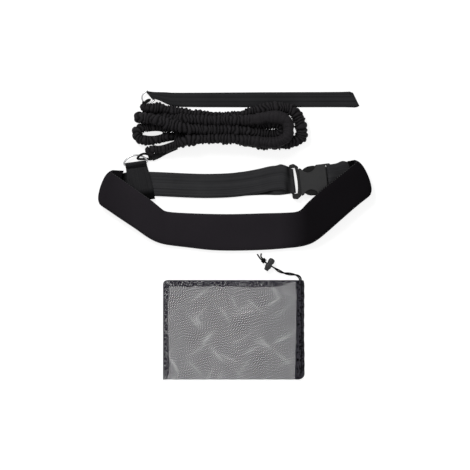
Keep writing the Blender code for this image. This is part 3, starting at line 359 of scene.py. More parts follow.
class Paint(Nodes):
    """A material that is being made from nodes, kept in surfaces under its key."""

    def __init__(self, key, name, roughness, specular=0.5, metallic=0.0):
        surfaces[key] = bpy.data.materials.new(name)
        surfaces[key].use_nodes = True
        super().__init__(surfaces[key].node_tree)
        self.shader = self.tree.nodes["Principled BSDF"]
        self.finish({"Roughness": roughness, "Specular IOR Level": specular, "Metallic": metallic})

    def finish(self, inputs):
        """Sets or links the shader's own inputs."""
        self.set(self.shader, inputs)

    def place(self):
        """Where a point is on the object, in metres."""
        return self.add("TexCoord").outputs["Object"]

    def strip_place(self):
        """The lengths along and across a strip, in metres."""
        vector = self.add("UVMap", uv_map="strip").outputs[0]
        apart = self.add("SeparateXYZ", {0: vector})
        return vector, apart.outputs[0], apart.outputs[1]

    def scaled(self, vector, *scale):
        """A place stretched along its axes."""
        return self.add("Mapping", {"Vector": vector, "Scale": scale}).outputs[0]

    def stored(self, name, low, high):
        """A number that the mesh holds for each vertex, from 0 to 1, turned into a shade."""
        return self.spread(self.add("Attribute", attribute_name=name).outputs["Fac"], 0.0, 1.0, low, high)

    def noise(self, vector, scale, detail=2.0, roughness=0.5):
        """Soft random values from 0 to 1."""
        inputs = {"Vector": vector, "Scale": scale, "Detail": detail, "Roughness": roughness}
        return self.add("TexNoise", inputs).outputs[0]

    def cells(self, vector, scale):
        """Values that rise from the middle of each of many small cells."""
        return self.add("TexVoronoi", {"Vector": vector, "Scale": scale}).outputs[0]

    def wave(self, value, period):
        """A wave from 0 to 1."""
        sine = self.math("SINE", self.math("MULTIPLY", value, 2 * math.pi / period))
        return self.math("MULTIPLY", self.math("ADD", sine, 1.0), 0.5)

    def spread(self, value, low, high, to_low=0.0, to_high=1.0):
        """A range of values stretched to another."""
        return self.add("MapRange", {0: value, 1: low, 2: high, 3: to_low, 4: to_high}).outputs[0]

    def mottle(self, vector, scale, detail, low, high):
        """Soft random shades from low to high."""
        return self.spread(self.noise(vector, scale, detail), 0.3, 0.7, low, high)

    def product(self, first, *others):
        """Several values multiplied together."""
        for other in others:
            first = self.math("MULTIPLY", first, other)
        return first

    def tint(self, colour, *shades, dark=BLACK):
        """Colours the surface, darker where the product of its shades is less."""
        self.finish({"Base Color": self.blend(self.product(*shades), dark, colour)})

    def blend(self, factor, a, b):
        """One colour turning into another."""
        node = self.add("Mix", data_type="RGBA")
        self.set(node, {0: factor, 6: a, 7: b})
        return node.outputs[2]

    def bump(self, height, distance, strength):
        """Raises the surface's small forms."""
        node = self.add("Bump", {"Height": height, "Distance": distance, "Strength": strength})
        self.finish({"Normal": node.outputs[0]})


def grey(level, warm=0.0, blue=0.0):
    """A near-grey colour in linear light."""
    return (level * (1 + warm), level, level * (1 + blue), 1.0)


def webbing_material(key, name, level, stripes=()):
    """Polyester webbing: crosswise ribs, a fine basket weave, lengthwise lines, a little wear, and painted
    shade where it lies under or beside other parts.
    """
    paint = Paint(key, name, 0.62, specular=0.03)
    vector, along, across = paint.strip_place()
    rib = paint.wave(along, 0.0013)
    check = paint.product(rib, paint.wave(across, 0.0016))
    shades = [
        paint.mottle(vector, 18.0, 3.0, 0.86, 1.12),
        paint.mottle(paint.scaled(vector, 3.0, 420.0, 1.0), 1.0, 1.0, 0.78, 1.2),
        paint.spread(check, 0.0, 1.0, 0.82, 1.1),
    ]
    for middle, half, depth in stripes:
        far = paint.math("ABSOLUTE", paint.math("SUBTRACT", across, middle * MM))
        shades.append(paint.spread(far, half * MM * 0.5, half * MM, depth, 1.0))
    # The number kept for each vertex darkens the webbing as painted shade
    paint.tint(grey(level, 0.0, 0.06), *shades, paint.stored("painted_shade", 1.0, 0.04))
    paint.bump(paint.math("ADD", rib, paint.product(check, 0.8)), 0.00018, 0.8)


# A webbing's lengthwise stripes, as (place across, half width, shade)
BELT_STRIPES = [(-9.0, 1.6, 0.8), (1.5, 2.4, 1.16), (9.0, 1.8, 0.84), (-21.0, 2.0, 0.8)]
STRAP_STRIPES = [(-4.6, 1.5, 0.75), (4.2, 1.6, 0.8), (-12.8, 1.6, 0.55), (0.0, 1.8, 1.2)]
# The plastics, as (key, name, level, specular)
PLASTICS = [
    ("plastic", "moulded_acetal", 0.0175, 0.3), ("plug_plastic", "moulded_acetal_plug", 0.0075, 0.24),
    # The prongs' copy of the acetal is darker, a painted shade for where they sit in the socket's recesses
    ("recess_shade_plastic", "moulded_acetal_painted_shade", 0.005, 0.14),
]


def make_cloths():
    """The materials of the pad, the webbings, the sleeve and the mesh bag."""
    pad = Paint("pad", "neoprene_cover", 0.8, specular=0.02)
    place = pad.place()
    knit = pad.cells(place, 900.0)
    x = pad.add("SeparateXYZ", {0: place}).outputs[0]
    pad.tint(
        (0.0262, 0.023, 0.0274, 1.0), pad.mottle(place, 7.0, 3.0, 0.9, 1.1),
        # Painted shade: darker towards the left end, and much darker on the right leg, standing in for the
        # sheen of its nap turned away from the light
        pad.spread(x, 0.09, 0.145, 1.0, 0.3), pad.spread(x, -0.26, -0.2, 0.72, 1.0),
        # painted shade on the rows at the pad's two ends, where the cover turns under
        pad.spread(knit, 0.0, 0.6, 1.1, 0.85), pad.stored("inner", 1.0, 0.3),
    )
    pad.bump(pad.math("ADD", pad.product(knit, 0.5), pad.noise(place, 1400.0)), 0.0001, 0.7)

    webbing_material("webbing", "belt_webbing_weave", 0.044, BELT_STRIPES)
    webbing_material("tab", "tab_weave", 0.028)
    webbing_material("strap", "strap_weave", 0.0315, STRAP_STRIPES)

    sleeve = Paint("sleeve", "gathered_nylon", 0.6, specular=0.06)
    vector, along, across = sleeve.strip_place()
    threads = sleeve.product(sleeve.wave(along, 0.0007), sleeve.wave(across, 0.0007))
    wrinkle = sleeve.noise(sleeve.scaled(vector, 260.0, 60.0, 1.0), 1.0, 4.0, 0.6)
    # The fold attribute carries painted light: painted shade in the creases, where turns press together and
    # under higher turns, and painted highlight on the crests and in lengthwise streaks
    fold = sleeve.add("Attribute", attribute_name="fold").outputs["Fac"]
    sleeve.tint(
        grey(0.0185, 0.08, 0.1), sleeve.mottle(sleeve.place(), 26.0, 2.0, 0.8, 1.2),
        sleeve.spread(wrinkle, 0.3, 0.7, 0.75, 1.2), sleeve.spread(fold, 0.0, 0.9, 0.1, 1.75),
    )
    sleeve.bump(sleeve.math("ADD", sleeve.product(threads, 0.12), wrinkle), 0.0009, 0.8)

    net = Paint("net", "mesh_yarn", 0.7, specular=0.1)
    net.tint(grey(0.032, 0.12, 0.42), net.mottle(net.place(), 900.0, 2.0, 0.7, 1.2))
    net.bump(net.noise(net.place(), 2600.0, 1.0), 0.00012, 0.8)

    channel = Paint("channel", "folded_mesh", 0.75, specular=0.03)
    place = channel.place()
    channel.tint(
        grey(0.046, 0.05, 0.22),
        channel.spread(channel.noise(place, 250.0, 1.0), 0.38, 0.62, 0.0, 2.2),
        channel.spread(channel.noise(place, 90.0, 3.0), 0.36, 0.64, 0.5, 1.6),
        channel.stored("rim", 1.2, 0.2),
    )
    channel.bump(channel.cells(place, 520.0), 0.0004, 0.8)


def make_cords_and_hard_materials():
    """The materials of the ropes, the cord, the thread, the plastics and the steel."""
    rope = Paint("rope", "braided_rope", 0.65, specular=0.04)
    _, along, across = rope.strip_place()
    one, two = (
        rope.math("SINE", rope.product(rope.math(way, along, across), 2 * math.pi / 0.0016))
        for way in ("ADD", "SUBTRACT")
    )
    braid = rope.spread(rope.product(one, two), -1.0, 1.0)
    rope.tint(grey(0.017), rope.spread(braid, 0.0, 1.0, 0.6, 1.15))
    rope.bump(braid, 0.0003, 0.9)

    cord = Paint("cord", "woven_cord", 0.6, specular=0.02)
    _, along, across = cord.strip_place()
    braid = cord.product(cord.wave(along, 0.0008), cord.wave(across, 0.0007))
    cord.tint(grey(0.0085), cord.spread(braid, 0.0, 1.0, 0.8, 1.1))
    cord.bump(braid, 0.00015, 0.8)

    thread = Paint("thread", "sewing_thread", 0.6, specular=0.3)
    thread.tint(grey(0.05), thread.mottle(thread.place(), 1800.0, 2.0, 0.7, 1.15))

    for key, name, level, specular in PLASTICS:
        plastic = Paint(key, name, 0.42, specular)
        place = plastic.place()
        grain = plastic.noise(place, 1500.0, 2.0)
        plastic.tint(grey(level, 0.0, 0.03), plastic.mottle(place, 60.0, 3.0, 0.8, 1.2))
        plastic.finish({"Roughness": plastic.spread(grain, 0.3, 0.7, 0.38, 0.5)})
        plastic.bump(grain, 0.00006, 0.5)

    steel = Paint("steel", "nickel_wire", 0.24, metallic=1.0)
    marks = steel.noise(steel.place(), 240.0, 4.0, 0.7)
    steel.tint((0.46, 0.46, 0.46, 1.0), steel.spread(marks, 0.3, 0.7), dark=(0.34, 0.34, 0.35, 1.0))
    steel.finish({"Roughness": steel.spread(marks, 0.3, 0.7, 0.18, 0.34)})


def make_camera():
    """A long lens straight above the middle of the layout."""
    data = bpy.data.cameras.new("camera")
    data.sensor_width = 36.0
    data.lens = data.sensor_width * CAMERA_HEIGHT / (PICTURE_SPAN * MM)
    data.clip_start, data.clip_end = 0.1, 100.0
    made = bpy.data.objects.new("camera", data)
    made.location = (0.0, 0.0, CAMERA_HEIGHT)
    bpy.context.scene.collection.objects.link(made)
    bpy.context.scene.camera = made


FLOOR_REACH = 12000.0
FLOOR_DEPTH = 0.2
# The lamps, in metres and watts, as (name, place, size, energy)
LAMPS = [("key", (-1.2, 1.9, 2.0), 1.2, 44.0), ("fill", (1.6, -1.2, 2.4), 2.0, 6.0)]


def make_stage():
    """The pale floor, the world and the lamps."""
    world = bpy.data.worlds.new("world")
    bpy.context.scene.world = world
    world.use_nodes = True
    sky = Nodes(world.node_tree)
    strength = sky.math("ADD", sky.seen(1.0 - SKY), SKY)
    sky.set(world.node_tree.nodes["Background"], {0: (1.0, 1.0, 1.0, 1.0), 1: strength})

    paper = Paint("floor", "floor_paper", 0.9, specular=0.0)
    paper.finish({"Base Color": grey(0.42), "Emission Color": grey(1.0)})
    paper.finish({"Emission Strength": paper.seen(0.8)})
    r = FLOOR_REACH
    corners = [(-r, -r, -FLOOR_DEPTH), (r, -r, -FLOOR_DEPTH), (r, r, -FLOOR_DEPTH), (-r, r, -FLOOR_DEPTH)]
    mesh_piece("floor", corners, [(0, 1, 2, 3)], surfaces["floor"])

    for name, place, size, energy in LAMPS:
        data = bpy.data.lights.new(name, "AREA")
        data.shape = "DISK"
        data.size = size
        data.energy = energy
        lamp = bpy.data.objects.new(name, data)
        lamp.location = place
        lamp.rotation_mode = "QUATERNION"
        lamp.rotation_quaternion = (-Vector(place)).to_track_quat("-Z", "Y")
        bpy.context.scene.collection.objects.link(lamp)
    bpy.context.scene.view_settings.view_transform = "Standard"


make_cloths()
make_cords_and_hard_materials()
make_camera()
make_stage()

# The folded route, from its anchor end to its belt end, as (x, y, z)
HANK_ROUTE = [
    (-170, 252.8, 9), (-152, 252.2, 9), (-128, 247.8, 9), (-98, 242.2, 9), (-66, 238.4, 9), (-34, 235.8, 9),
    (-10, 236, 9), (14, 240.2, 9.6), (36, 246.4, 11.2), (57, 251.6, 13), (80, 253.8, 13.4),
    (102, 252.8, 13.2), (115.6, 247.4, 11.8), (124, 238, 10), (128.8, 225, 9), (132, 212, 9),
    (133.2, 202, 9), (129.4, 193.4, 9), (118, 187.6, 9), (100, 183, 9), (74, 180, 9), (46, 181.8, 9),
    (18, 188.2, 9), (-8, 194.6, 9), (-36, 197, 9), (-64, 196.8, 9), (-90, 196.4, 9), (-116, 196.6, 9),
    (-140, 195.2, 9), (-157, 192, 9), (-172, 189.8, 9), (-184.8, 190.8, 9), (-193.8, 196.4, 9),
    (-195.6, 204.6, 9), (-190, 212.2, 9), (-178, 216.2, 9), (-150, 215.8, 9), (-120, 215.4, 9),
    (-90, 215.6, 9), (-64, 216, 9), (-36, 216.2, 9), (-8, 217.4, 9), (16, 220.4, 9), (40, 222, 9),
    (62, 222.6, 9), (78, 222.2, 9), (88.6, 218.8, 9), (93, 211, 9), (88.8, 203.4, 9), (78, 200.2, 9.2),
    (62, 200.4, 10.6), (44, 202.6, 14.4), (22, 206.6, 21.2), (-2, 209.4, 25.4), (-36, 210, 25.9),
    (-70, 210.6, 26.2), (-96, 213, 28.6), (-120, 218.4, 33), (-144, 225.8, 33.2), (-166, 231.2, 30),
    (-182.2, 233.6, 27.4), (-188.8, 234, 24.8), (-191.4, 234.4, 18.3), (-188.8, 234.8, 11.8),
    (-182.2, 234.8, 9.6), (-162, 234.6, 10), (-139, 232.4, 16.6), (-116, 231.2, 20.8), (-92, 230.4, 24),
    (-64, 229, 25.8), (-36, 228, 26), (-8, 228.2, 26.2), (18, 228.8, 26.8), (40, 230.2, 26),
    (62, 234.6, 23.4), (84, 234.8, 22), (99.6, 228.6, 21.6), (106.4, 217, 21.6), (106.6, 204, 22.8),
    (101.4, 193.6, 24.8), (90, 187.2, 26.4), (74, 184.8, 27), (54, 185.6, 27.6), (36, 187.6, 27.6),
    (16, 190, 27.2), (-8, 191.4, 27), (-36, 191.8, 26.8), (-62, 191.2, 26.8), (-84, 189.4, 26.4),
    (-100, 187, 25.2), (-115, 183, 20.8), (-130, 177.6, 15.2), (-146, 172.4, 13.2), (-159, 171.2, 10.9),
    (-171, 172, 9.6),
]
SLEEVE_STEP = 1.0
SLEEVE_SIDES = 40
LOBE_RADIUS = 11.9
CREASE_DEPTH = 4.8
SKIN_LIMITS = (6.6, 13.8)
OTHER_TURN = 26.0  # places further apart than this along the sleeve are on different turns of it
FAR = 999.0
# Boxes where the creases are shallower and where the sleeve is fuller, as (low, high, how much)
SLACK_BOXES = [((24, 200, 20.5), (FAR, FAR, FAR), 0.3), ((24, -FAR, 20.5), (FAR, 200, FAR), 0.6)]
BULK_BOXES = [
    ((0, -FAR, 15), (FAR, FAR, FAR), 0.0), ((-FAR, 182, -FAR), (0, FAR, FAR), 0.0),
    ((60, 212, 20.5), (FAR, FAR, FAR), 1.9), ((108, 216, -FAR), (FAR, FAR, 20.5), 2.0),
    ((36, 198, -FAR), (84, 224, FAR), 1.6), ((-FAR, 240, -FAR), (-146, FAR, FAR), 1.9),
]
CREASE_GAPS = (4.6, 9.4)
CREASE_MARGIN = 10.0  # how far the creases run on beyond the sleeve's ends
LOBE_SWELL = (0.5, 1.15)
SLOW_LENGTH = 12.0
SLOW_COUNT = 400
SLACK_REACH, BULK_REACH = 14, 20  # over how many places the boxes' edges are evened out
BULK_ALONG = [(-160.0, -1.6), (-130.0, 0.0), (104.0, 0.0), (118.0, 1.1)]  # as (x, how much fuller)
NO_LIMIT = 99.0
NEAR_TURN = 34.0
BLOCK = 120  # how many places are compared at once
SHADE_RISE, SHADE_REACH = 7.0, 21.0  # how far above and beside a place a turn shades it
OPEN_MARGIN = 24.0
# How the creases slant round the sleeve, as (reach, waves round it)
SLANTS = [(2.6, 1), (1.6, 2), (0.9, 4)]
PRESS = 1.4  # how far two turns sink into each other where they meet
THINNEST = 6.7
UV_RADIUS = 9.0
# Places between the sleeve's turns where the floor shows, as (x, y, half length, half width, angle)
OPEN_PLACES = [(118.4, 209.4, 5.4, 1.7, 88), (-163, 202.8, 18.5, 4.6, 4), (-139, 183.2, 19, 2.4, 13.3)]
# The anchor strap's top, its edge in y, and from where in x the sleeve lies on it
STRAP_TOP, STRAP_EDGE, STRAP_FROM = 4.4, 254.5, -100.0


def boxed(values, points, boxes, reach):
    """Values changed at the points inside boxes, and then evened out."""
    for low, high, value in boxes:
        values[np.all((points > low) & (points < high), axis=1)] = value
    return evened(values, reach)


def room_round(points, side, up, turn, runs):
    """How far the sleeve may reach at each angle before it meets another stretch of itself."""
    reach = np.full((len(points), len(turn)), NO_LIMIT)
    keep = np.arange(0, len(points), 3)
    others = points[keep]
    for first in range(0, len(points), BLOCK):
        here = slice(first, first + BLOCK)
        way = others[None] - points[here, None]
        far = np.linalg.norm(way, axis=2)
        other = (np.abs(runs[here, None] - runs[keep][None]) > OTHER_TURN) & (far < NEAR_TURN)
        for j, angle in enumerate(turn):
            out = side[here] * math.cos(angle) + up[here] * math.sin(angle)
            toward = np.einsum("ijk,ik->ij", way, out)
            limit = np.where(other & (toward > 1.0), far**2 / (2 * np.maximum(toward, 1.0)), NO_LIMIT)
            reach[here, j] = limit.min(axis=1)
    return reach


def under_share(points, runs):
    """How much each place of the sleeve lies in the shade under another turn, from 0 to 1."""
    others, at = points[::4], runs[::4]
    way = others[None] - points[:, None]
    flat = np.hypot(way[..., 0], way[..., 1])
    over = (way[..., 2] > SHADE_RISE) & (np.abs(runs[:, None] - at[None]) > OTHER_TURN)
    return np.where(over, np.exp(-((flat / SHADE_REACH) ** 2)), 0.0).max(axis=1)


def kept_clear(skin, points):
    """The sleeve's skin kept on its own side of the open places, seen from above."""
    for x, y, half_length, half_width, angle in OPEN_PLACES:
        along, across = turned(angle)[:2], turned(angle + 90)[:2]
        u = ((skin[..., :2] - [x, y]) @ along) / half_length
        v = ((skin[..., :2] - [x, y]) @ across) / half_width
        middle = ((points[:, :2] - [x, y]) @ across) / half_width
        near = np.linalg.norm(points[:, :2] - [x, y], axis=1) < half_length + OPEN_MARGIN
        near &= np.abs(middle) > 1.0
        own = np.where(middle >= 0, 1.0, -1.0)[:, None]
        edge = np.sqrt(np.clip(1.0 - u**2, 0.0, 1.0))
        short = np.clip(edge - v * own, 0.0, None) * near[:, None] * (np.abs(u) < 1.0)
        skin[..., :2] += (short * own)[..., None] * half_width * across
    return skin


def make_sleeve():
    """The gathered sleeve: lobes of slack cloth between creases, pressed by its other turns and the floor."""
    points = evenly(HANK_ROUTE, SLEEVE_STEP)
    runs = runs_of(points)
    side, up = frames(points)
    turn = 2 * math.pi * np.arange(SLEEVE_SIDES) / SLEEVE_SIDES
    random = np.random.default_rng(11)

    creases = [-CREASE_MARGIN]
    while creases[-1] < runs[-1] + CREASE_MARGIN:
        creases.append(creases[-1] + random.uniform(*CREASE_GAPS))
    creases = np.array(creases)
    phases = random.uniform(0, 2 * math.pi, (len(creases), 3))
    swell = random.uniform(*LOBE_SWELL, len(creases))

    slow = [
        np.interp(runs / SLOW_LENGTH, np.arange(SLOW_COUNT), random.uniform(-1, 1, SLOW_COUNT))[:, None]
        for _ in range(6)
    ]
    at = runs[:, None]
    for number, (size, waves) in enumerate(SLANTS):
        one, two = slow[2 * number : 2 * number + 2]
        at = at + size * (one * np.sin(waves * turn) + two * np.cos(waves * turn))
    lobe = np.interp(at, creases, np.arange(len(creases)))
    number = np.clip(np.floor(lobe).astype(int), 0, len(creases) - 2)
    hump = np.sin(math.pi * np.clip(lobe - number, 0, 1)) ** 0.7

    slack = boxed(np.ones(len(points)), points, SLACK_BOXES, SLACK_REACH)[:, None]
    bulk = np.interp(points[:, 0], *np.array(BULK_ALONG).T)
    bulk = boxed(bulk, points, BULK_BOXES, BULK_REACH)[:, None]
    taller = swell[number] * (1 + 0.14 * np.sin(turn + phases[number, 0]))
    reach = room_round(points, side, up, turn, runs) + PRESS
    pressed = np.clip((reach - 8.2) / 3.0, 0.35, 1.0)
    depth = CREASE_DEPTH * slack * pressed * (0.8 + 0.2 * np.sin(2 * turn + phases[number, 2]))
    radius = LOBE_RADIUS * (1 + 0.1 * bulk) * (0.86 + 0.14 * taller) - depth * (1 - hump * taller)
    radius += 0.35 * np.sin(3 * turn + phases[number, 1]) + 0.3 * slow[2]
    lengthwise = 0.5 + 0.5 * np.cos(5 * turn + 2.2 * slow[0])
    radius -= 1.1 * (1 - slack) * (1 - lengthwise)
    ends = np.minimum(runs + 6.0, (runs[-1] - runs) * 0.45)
    radius *= np.clip(0.62 + 0.38 * ends / 10.0, 0.0, 1.0)[:, None]
    radius = np.clip(radius, THINNEST, np.maximum(np.minimum(reach, SKIN_LIMITS[1]), THINNEST))

    skin = points[:, None] + rings(side, up, turn) * radius[..., None]
    over_strap = (skin[..., 1] > STRAP_EDGE) & (skin[..., 0] > STRAP_FROM)
    skin[..., 2] = np.maximum(skin[..., 2], np.where(over_strap, STRAP_TOP, 0.1))
    skin = kept_clear(skin, points)
    away = skin - points[:, None]
    far = np.linalg.norm(away, axis=2, keepdims=True)
    skin = points[:, None] + away * np.clip(far, *SKIN_LIMITS) / far
    # Painted light for the material: painted highlight on the crests and in lengthwise streaks where the sleeve
    # lies smooth, painted shade in the creases, where turns press together and under higher turns
    crest = np.clip(hump**2.2 * (0.3 + 0.75 * taller), 0.0, 1.2)
    fold = crest * slack + (1 - slack) * (0.62 + 0.3 * lengthwise)
    fold *= np.clip(0.4 + (reach - 8.4) / 5.0, 0.4, 1.0)
    fold *= 1 - 0.55 * under_share(points, runs)[:, None]
    around = np.append(turn, 2 * math.pi) * UV_RADIUS
    made = grid_piece("tether_sleeve_cloth", skin, surfaces["sleeve"], (runs, around))
    store(made, "fold", fold)
    dress(made, "tether", "gathered_fabric", "tether_sleeve", "tether_core")
    return made, points


BELT_BAND = [
    (-166.2, 154.2, 3.2), (-158, 157.4, 2.4), (-150, 161.4, 2.3), (-143.4, 165.2, 2.3), (-130, 171.5, 2.3),
    (-117, 177, 2.3),
]
BAND_WIDTH = 13.0
BAND_THICKNESS = 3.6
LOOP_CORD = 3.7
SEEN_LOOP_CORD = 4.5
GAP = 0.35
BELT_LOOP = [
    (-173, 160.4, 5.8), (-181, 162.4, 9.8), (-188.6, 160, 12.1), (-192.8, 156.2, 11.2),
    (-194.6, 153.4, 7.4), (-193.6, 152.2, 3.4), (-189, 151.8, 1.95), (-184, 151.8, 1.95),
    (-176, 152.2, 1.95),
]
BELT_TUCK = [(-173, 170.4, 8.8), (-172.4, 167, 7.6), (-168.6, 163, 6.6), (-162.6, 161.8, 5.4)]
ANCHOR_CUFF = [(-177, 252.9, 10.2), (-182, 256, 10.8), (-181.6, 261.2, 11.4)]
ANCHOR_LOOP = [
    (-178.6, 266.6, 12.8), (-174.4, 269.4, 12), (-170.8, 270.4, 8.8), (-170.6, 269.6, 4.6),
    (-173.8, 267.2, 2.4), (-178.6, 265.4, 2.6), (-183.4, 264.8, 5.4),
]


def sewn_loop(name, node, face, back, middle):
    """A rope loop whose two ends stand side by side in the face that they are sewn into."""
    out = unit(face - back)
    across = unit(np.array([out[1], -out[0], 0.0])) * (LOOP_CORD / 2 + 0.15)
    points = [face + across - out, face + across + out * LOOP_CORD]
    points += [np.array(p) for p in middle]
    points += [face - across + out * LOOP_CORD, face - across - out]
    line = evenly(points, 0.8)
    made = tube(name, line, SEEN_LOOP_CORD / 2, surfaces["rope"])
    dress(made, "tether", "rope", node)


def gathered_end(name, line, radii, ripple, pace, girth, fold, *nodes):
    """A gathered end of the sleeve, as a tube of changing radius with small ripples."""
    shares, sizes = radii
    radii = np.interp(np.linspace(0, 1, len(line)), shares, sizes)
    radii = radii + ripple * np.sin(np.arange(len(line)) * pace)
    made = tube(name, line, girth, surfaces["sleeve"], sides=28, radii=radii)
    # The whole end gets one even level of the painted shade that the sleeve keeps for its creases
    store(made, "fold", np.full(len(made.data.vertices), fold))
    dress(made, "tether", "gathered_fabric", *nodes)
    return made


def make_tether_ends():
    """The band and the cuff at the tether's two ends, each with its rope loop."""
    line = evenly(BELT_BAND, 1.0)
    ahead = np.gradient(line, axis=0)
    rows = stations(line, np.degrees(np.arctan2(ahead[:, 1], ahead[:, 0])) + 90)
    pucker = 1.0 + 0.025 * np.random.default_rng(5).uniform(-1, 1, len(rows))
    band = strip("belt_end_band_cloth", rows, BAND_THICKNESS, surfaces["tab"], BAND_WIDTH * pucker)
    dress(band, "tether", "gathered_fabric", "belt_end_band")
    sewn_loop("belt_end_rope", "belt_end_loop", line[0], line[1], BELT_LOOP)

    start, after = np.array(HANK_ROUTE[:2], float)
    back = unit(start - after)
    line = evenly([start + back * GAP, start + back * 2.4, *np.array(ANCHOR_CUFF)], 0.4)
    cuff = gathered_end(
        "anchor_end_cuff_cloth", line, ([0, 0.3, 0.7, 1], [9.6, 9.6, 8.4, 5.4]), 0.4, 1.3, 6.0, 0.4,
        "anchor_end_cuff",
    )
    laid(cuff)
    sewn_loop("anchor_end_rope", "anchor_end_loop", line[-1], line[-2], ANCHOR_LOOP)
    return band, cuff


sleeve, sleeve_line = make_sleeve()
band, cuff = make_tether_ends()
# The sleeve's gathered end, drawn in where it is sewn to the belt-end band
tuck_line = evenly([sleeve_line[-1] + [-0.4, -0.2, -0.2], *np.array(BELT_TUCK)], 0.5)
tuck = gathered_end(
    "belt_end_tuck", tuck_line, ([0, 0.35, 0.7, 1.0], [6.9, 6.6, 5.8, 4.8]), 0.35, 1.5, 5.0, 0.45
)

BAG_LEFT = -143.8
BAG_RIGHT = 139.4
BAG_TOP = -90.2
BAG_BOTTOM = -289.0
BAG_CORNER = 9.0
CHANNEL_WIDTH = 17.6
CHANNEL_HEIGHT = 5.6
DRAWCORD = 2.7
DRAWCORD_SPACING = 3.1
LOCK_DIAMETER = 12.4
LOCK_CENTRE = (68.4, -59.4)
LOCK_ANGLE = 58.0
LOCK_TO_KNOT = 2.0
LOCK_TO_BAG = 6.0
KNOT_CENTRE = (57.4, -51.4)
SEEN_DRAWCORD = 2.9
DRAWCORD_ENDS = ([(51.8, -41.8, 3.2), (52.6, -37.0, 1.5)], [(47.4, -43.0, 3.2), (44.8, -38.4, 1.5)])
# How far the two strands have turned round each other, as (x, degrees)
DRAWCORD_TWIST = [(52, 540), (62, 450), (79, 450), (88, 360), (98, 270), (109, 180), (121, 90), (130, 0)]


def drawcord_line():
    """The middle line of the drawstring's two strands, from the channel to the loose ends."""
    middle = BAG_RIGHT - CHANNEL_WIDTH / 2
    inside = CHANNEL_HEIGHT / 2
    rest = DRAWCORD / 2 + 0.05
    centre = np.array([*LOCK_CENTRE, LOCK_DIAMETER / 2])
    along = turned(LOCK_ANGLE - 90)
    before = centre + along * (LOCK_DIAMETER / 2 + LOCK_TO_BAG)
    after = centre - along * (LOCK_DIAMETER / 2 + LOCK_TO_KNOT)
    return [
        *((middle, y, inside) for y in (BAG_BOTTOM + 14.0, -220.0, -150.0, -104.0, -94.0)),
        (129.6, -85.4, 2.2), (122.0, -80.0, rest), (107.0, -77.6, rest), (98.0, -76.0, 2.0),
        (88.0, -71.8, 4.8), before, centre, after, (*KNOT_CENTRE, 5.6), (52.4, -46.8, 5.0),
    ]


def make_drawstring():
    """One cord down the channel and back, through the lock and the knot."""
    line = evenly(drawcord_line(), 1.4)
    line[:, 2] = np.maximum(line[:, 2], DRAWCORD / 2 + 0.02)
    ahead = np.gradient(line, axis=0)
    twist = np.radians(np.interp(line[:, 0], *np.array(DRAWCORD_TWIST).T))[:, None]
    level = unit(np.column_stack([-ahead[:, 1], ahead[:, 0], np.zeros(len(line))]))
    sides = (level * np.cos(twist) + UP * np.sin(twist)) * (DRAWCORD_SPACING / 2)
    line[:, 2] = np.maximum(line[:, 2], DRAWCORD / 2 + np.abs(sides[:, 2]))
    turn = [
        line[0] + sides[0] * cosine - np.array([0.0, sine * DRAWCORD_SPACING / 2, 0.0])
        for cosine, sine in arc(0.0, 180.0, 8)[1:-1]
    ]
    first, second = np.array(DRAWCORD_ENDS)
    one = evenly([*first[::-1], *(line + sides)[::-1][::2]], 1.2)
    two = evenly([*(line - sides)[::2], (line - sides)[-1], *second], 1.2)
    path = np.vstack([one, turn, two])
    made = tube("drawstring_cord", path, SEEN_DRAWCORD / 2, surfaces["cord"], sides=12)
    dress(made, "mesh_bag", "rope", "drawstring")
    return made, path, line


KNOT_STEPS = 60
KNOT_TURNS = 2.5
KNOT_RADIUS = 3.7
KNOT_LENGTH = 5.4


def make_knot(line):
    """An overhand knot's turns round the two strands."""
    near = int(np.argmin(np.linalg.norm(line[:, :2] - np.array(KNOT_CENTRE), axis=1)))
    ahead = unit(line[near + 1] - line[near - 1])
    side, up = crosswise(ahead)
    points = []
    for k in range(KNOT_STEPS + 1):
        t = 2 * math.pi * k / KNOT_STEPS * KNOT_TURNS
        forward = (k / KNOT_STEPS - 0.5) * KNOT_LENGTH + 0.8 * math.sin(t + 0.6)
        r = KNOT_RADIUS + 0.35 * math.cos(t * 0.5)
        points.append(line[near] + ahead * forward + (side * math.cos(t) + up * math.sin(t)) * r)
    made = tube("drawstring_knot_cord", evenly(points, 0.7), DRAWCORD / 2, surfaces["cord"], sides=12)
    dress(made, "mesh_bag", "rope", "drawstring_knot")
    return made


drawstring, drawstring_path, drawstring_line = make_drawstring()
knot = make_knot(drawstring_line)

PAD_THICKNESS = 10.0
LEFT_LEG_WIDTH = 68.0
RIGHT_LEG_WIDTH = 70.0
PAD_CENTRE_WIDTH = 75.6
COVER_WALL = 1.2
LEFT_UNDERLAP = 22.0
RIGHT_UNDERLAP = 14.0
LEFT_FOLD_RADIUS = 5.4
RIGHT_FOLD_RADIUS = 6.4
LEFT_FOLD_ANGLE = 71.4
RIGHT_FOLD_ANGLE = 112.5
PAD_LEFT_AXIS = (-256.6, 91.4)
PAD_RIGHT_AXIS = (253.8, 110.0)
PAD_LEFT_HEADING = 145.2
PAD_RIGHT_HEADING = 40.6
FOLD_STEPS = 8
END_TAPER = 3.0  # how much narrower the right underlap ends
FOLD_SWELL = 5.2  # how far the folds' middles stand out beyond their ends
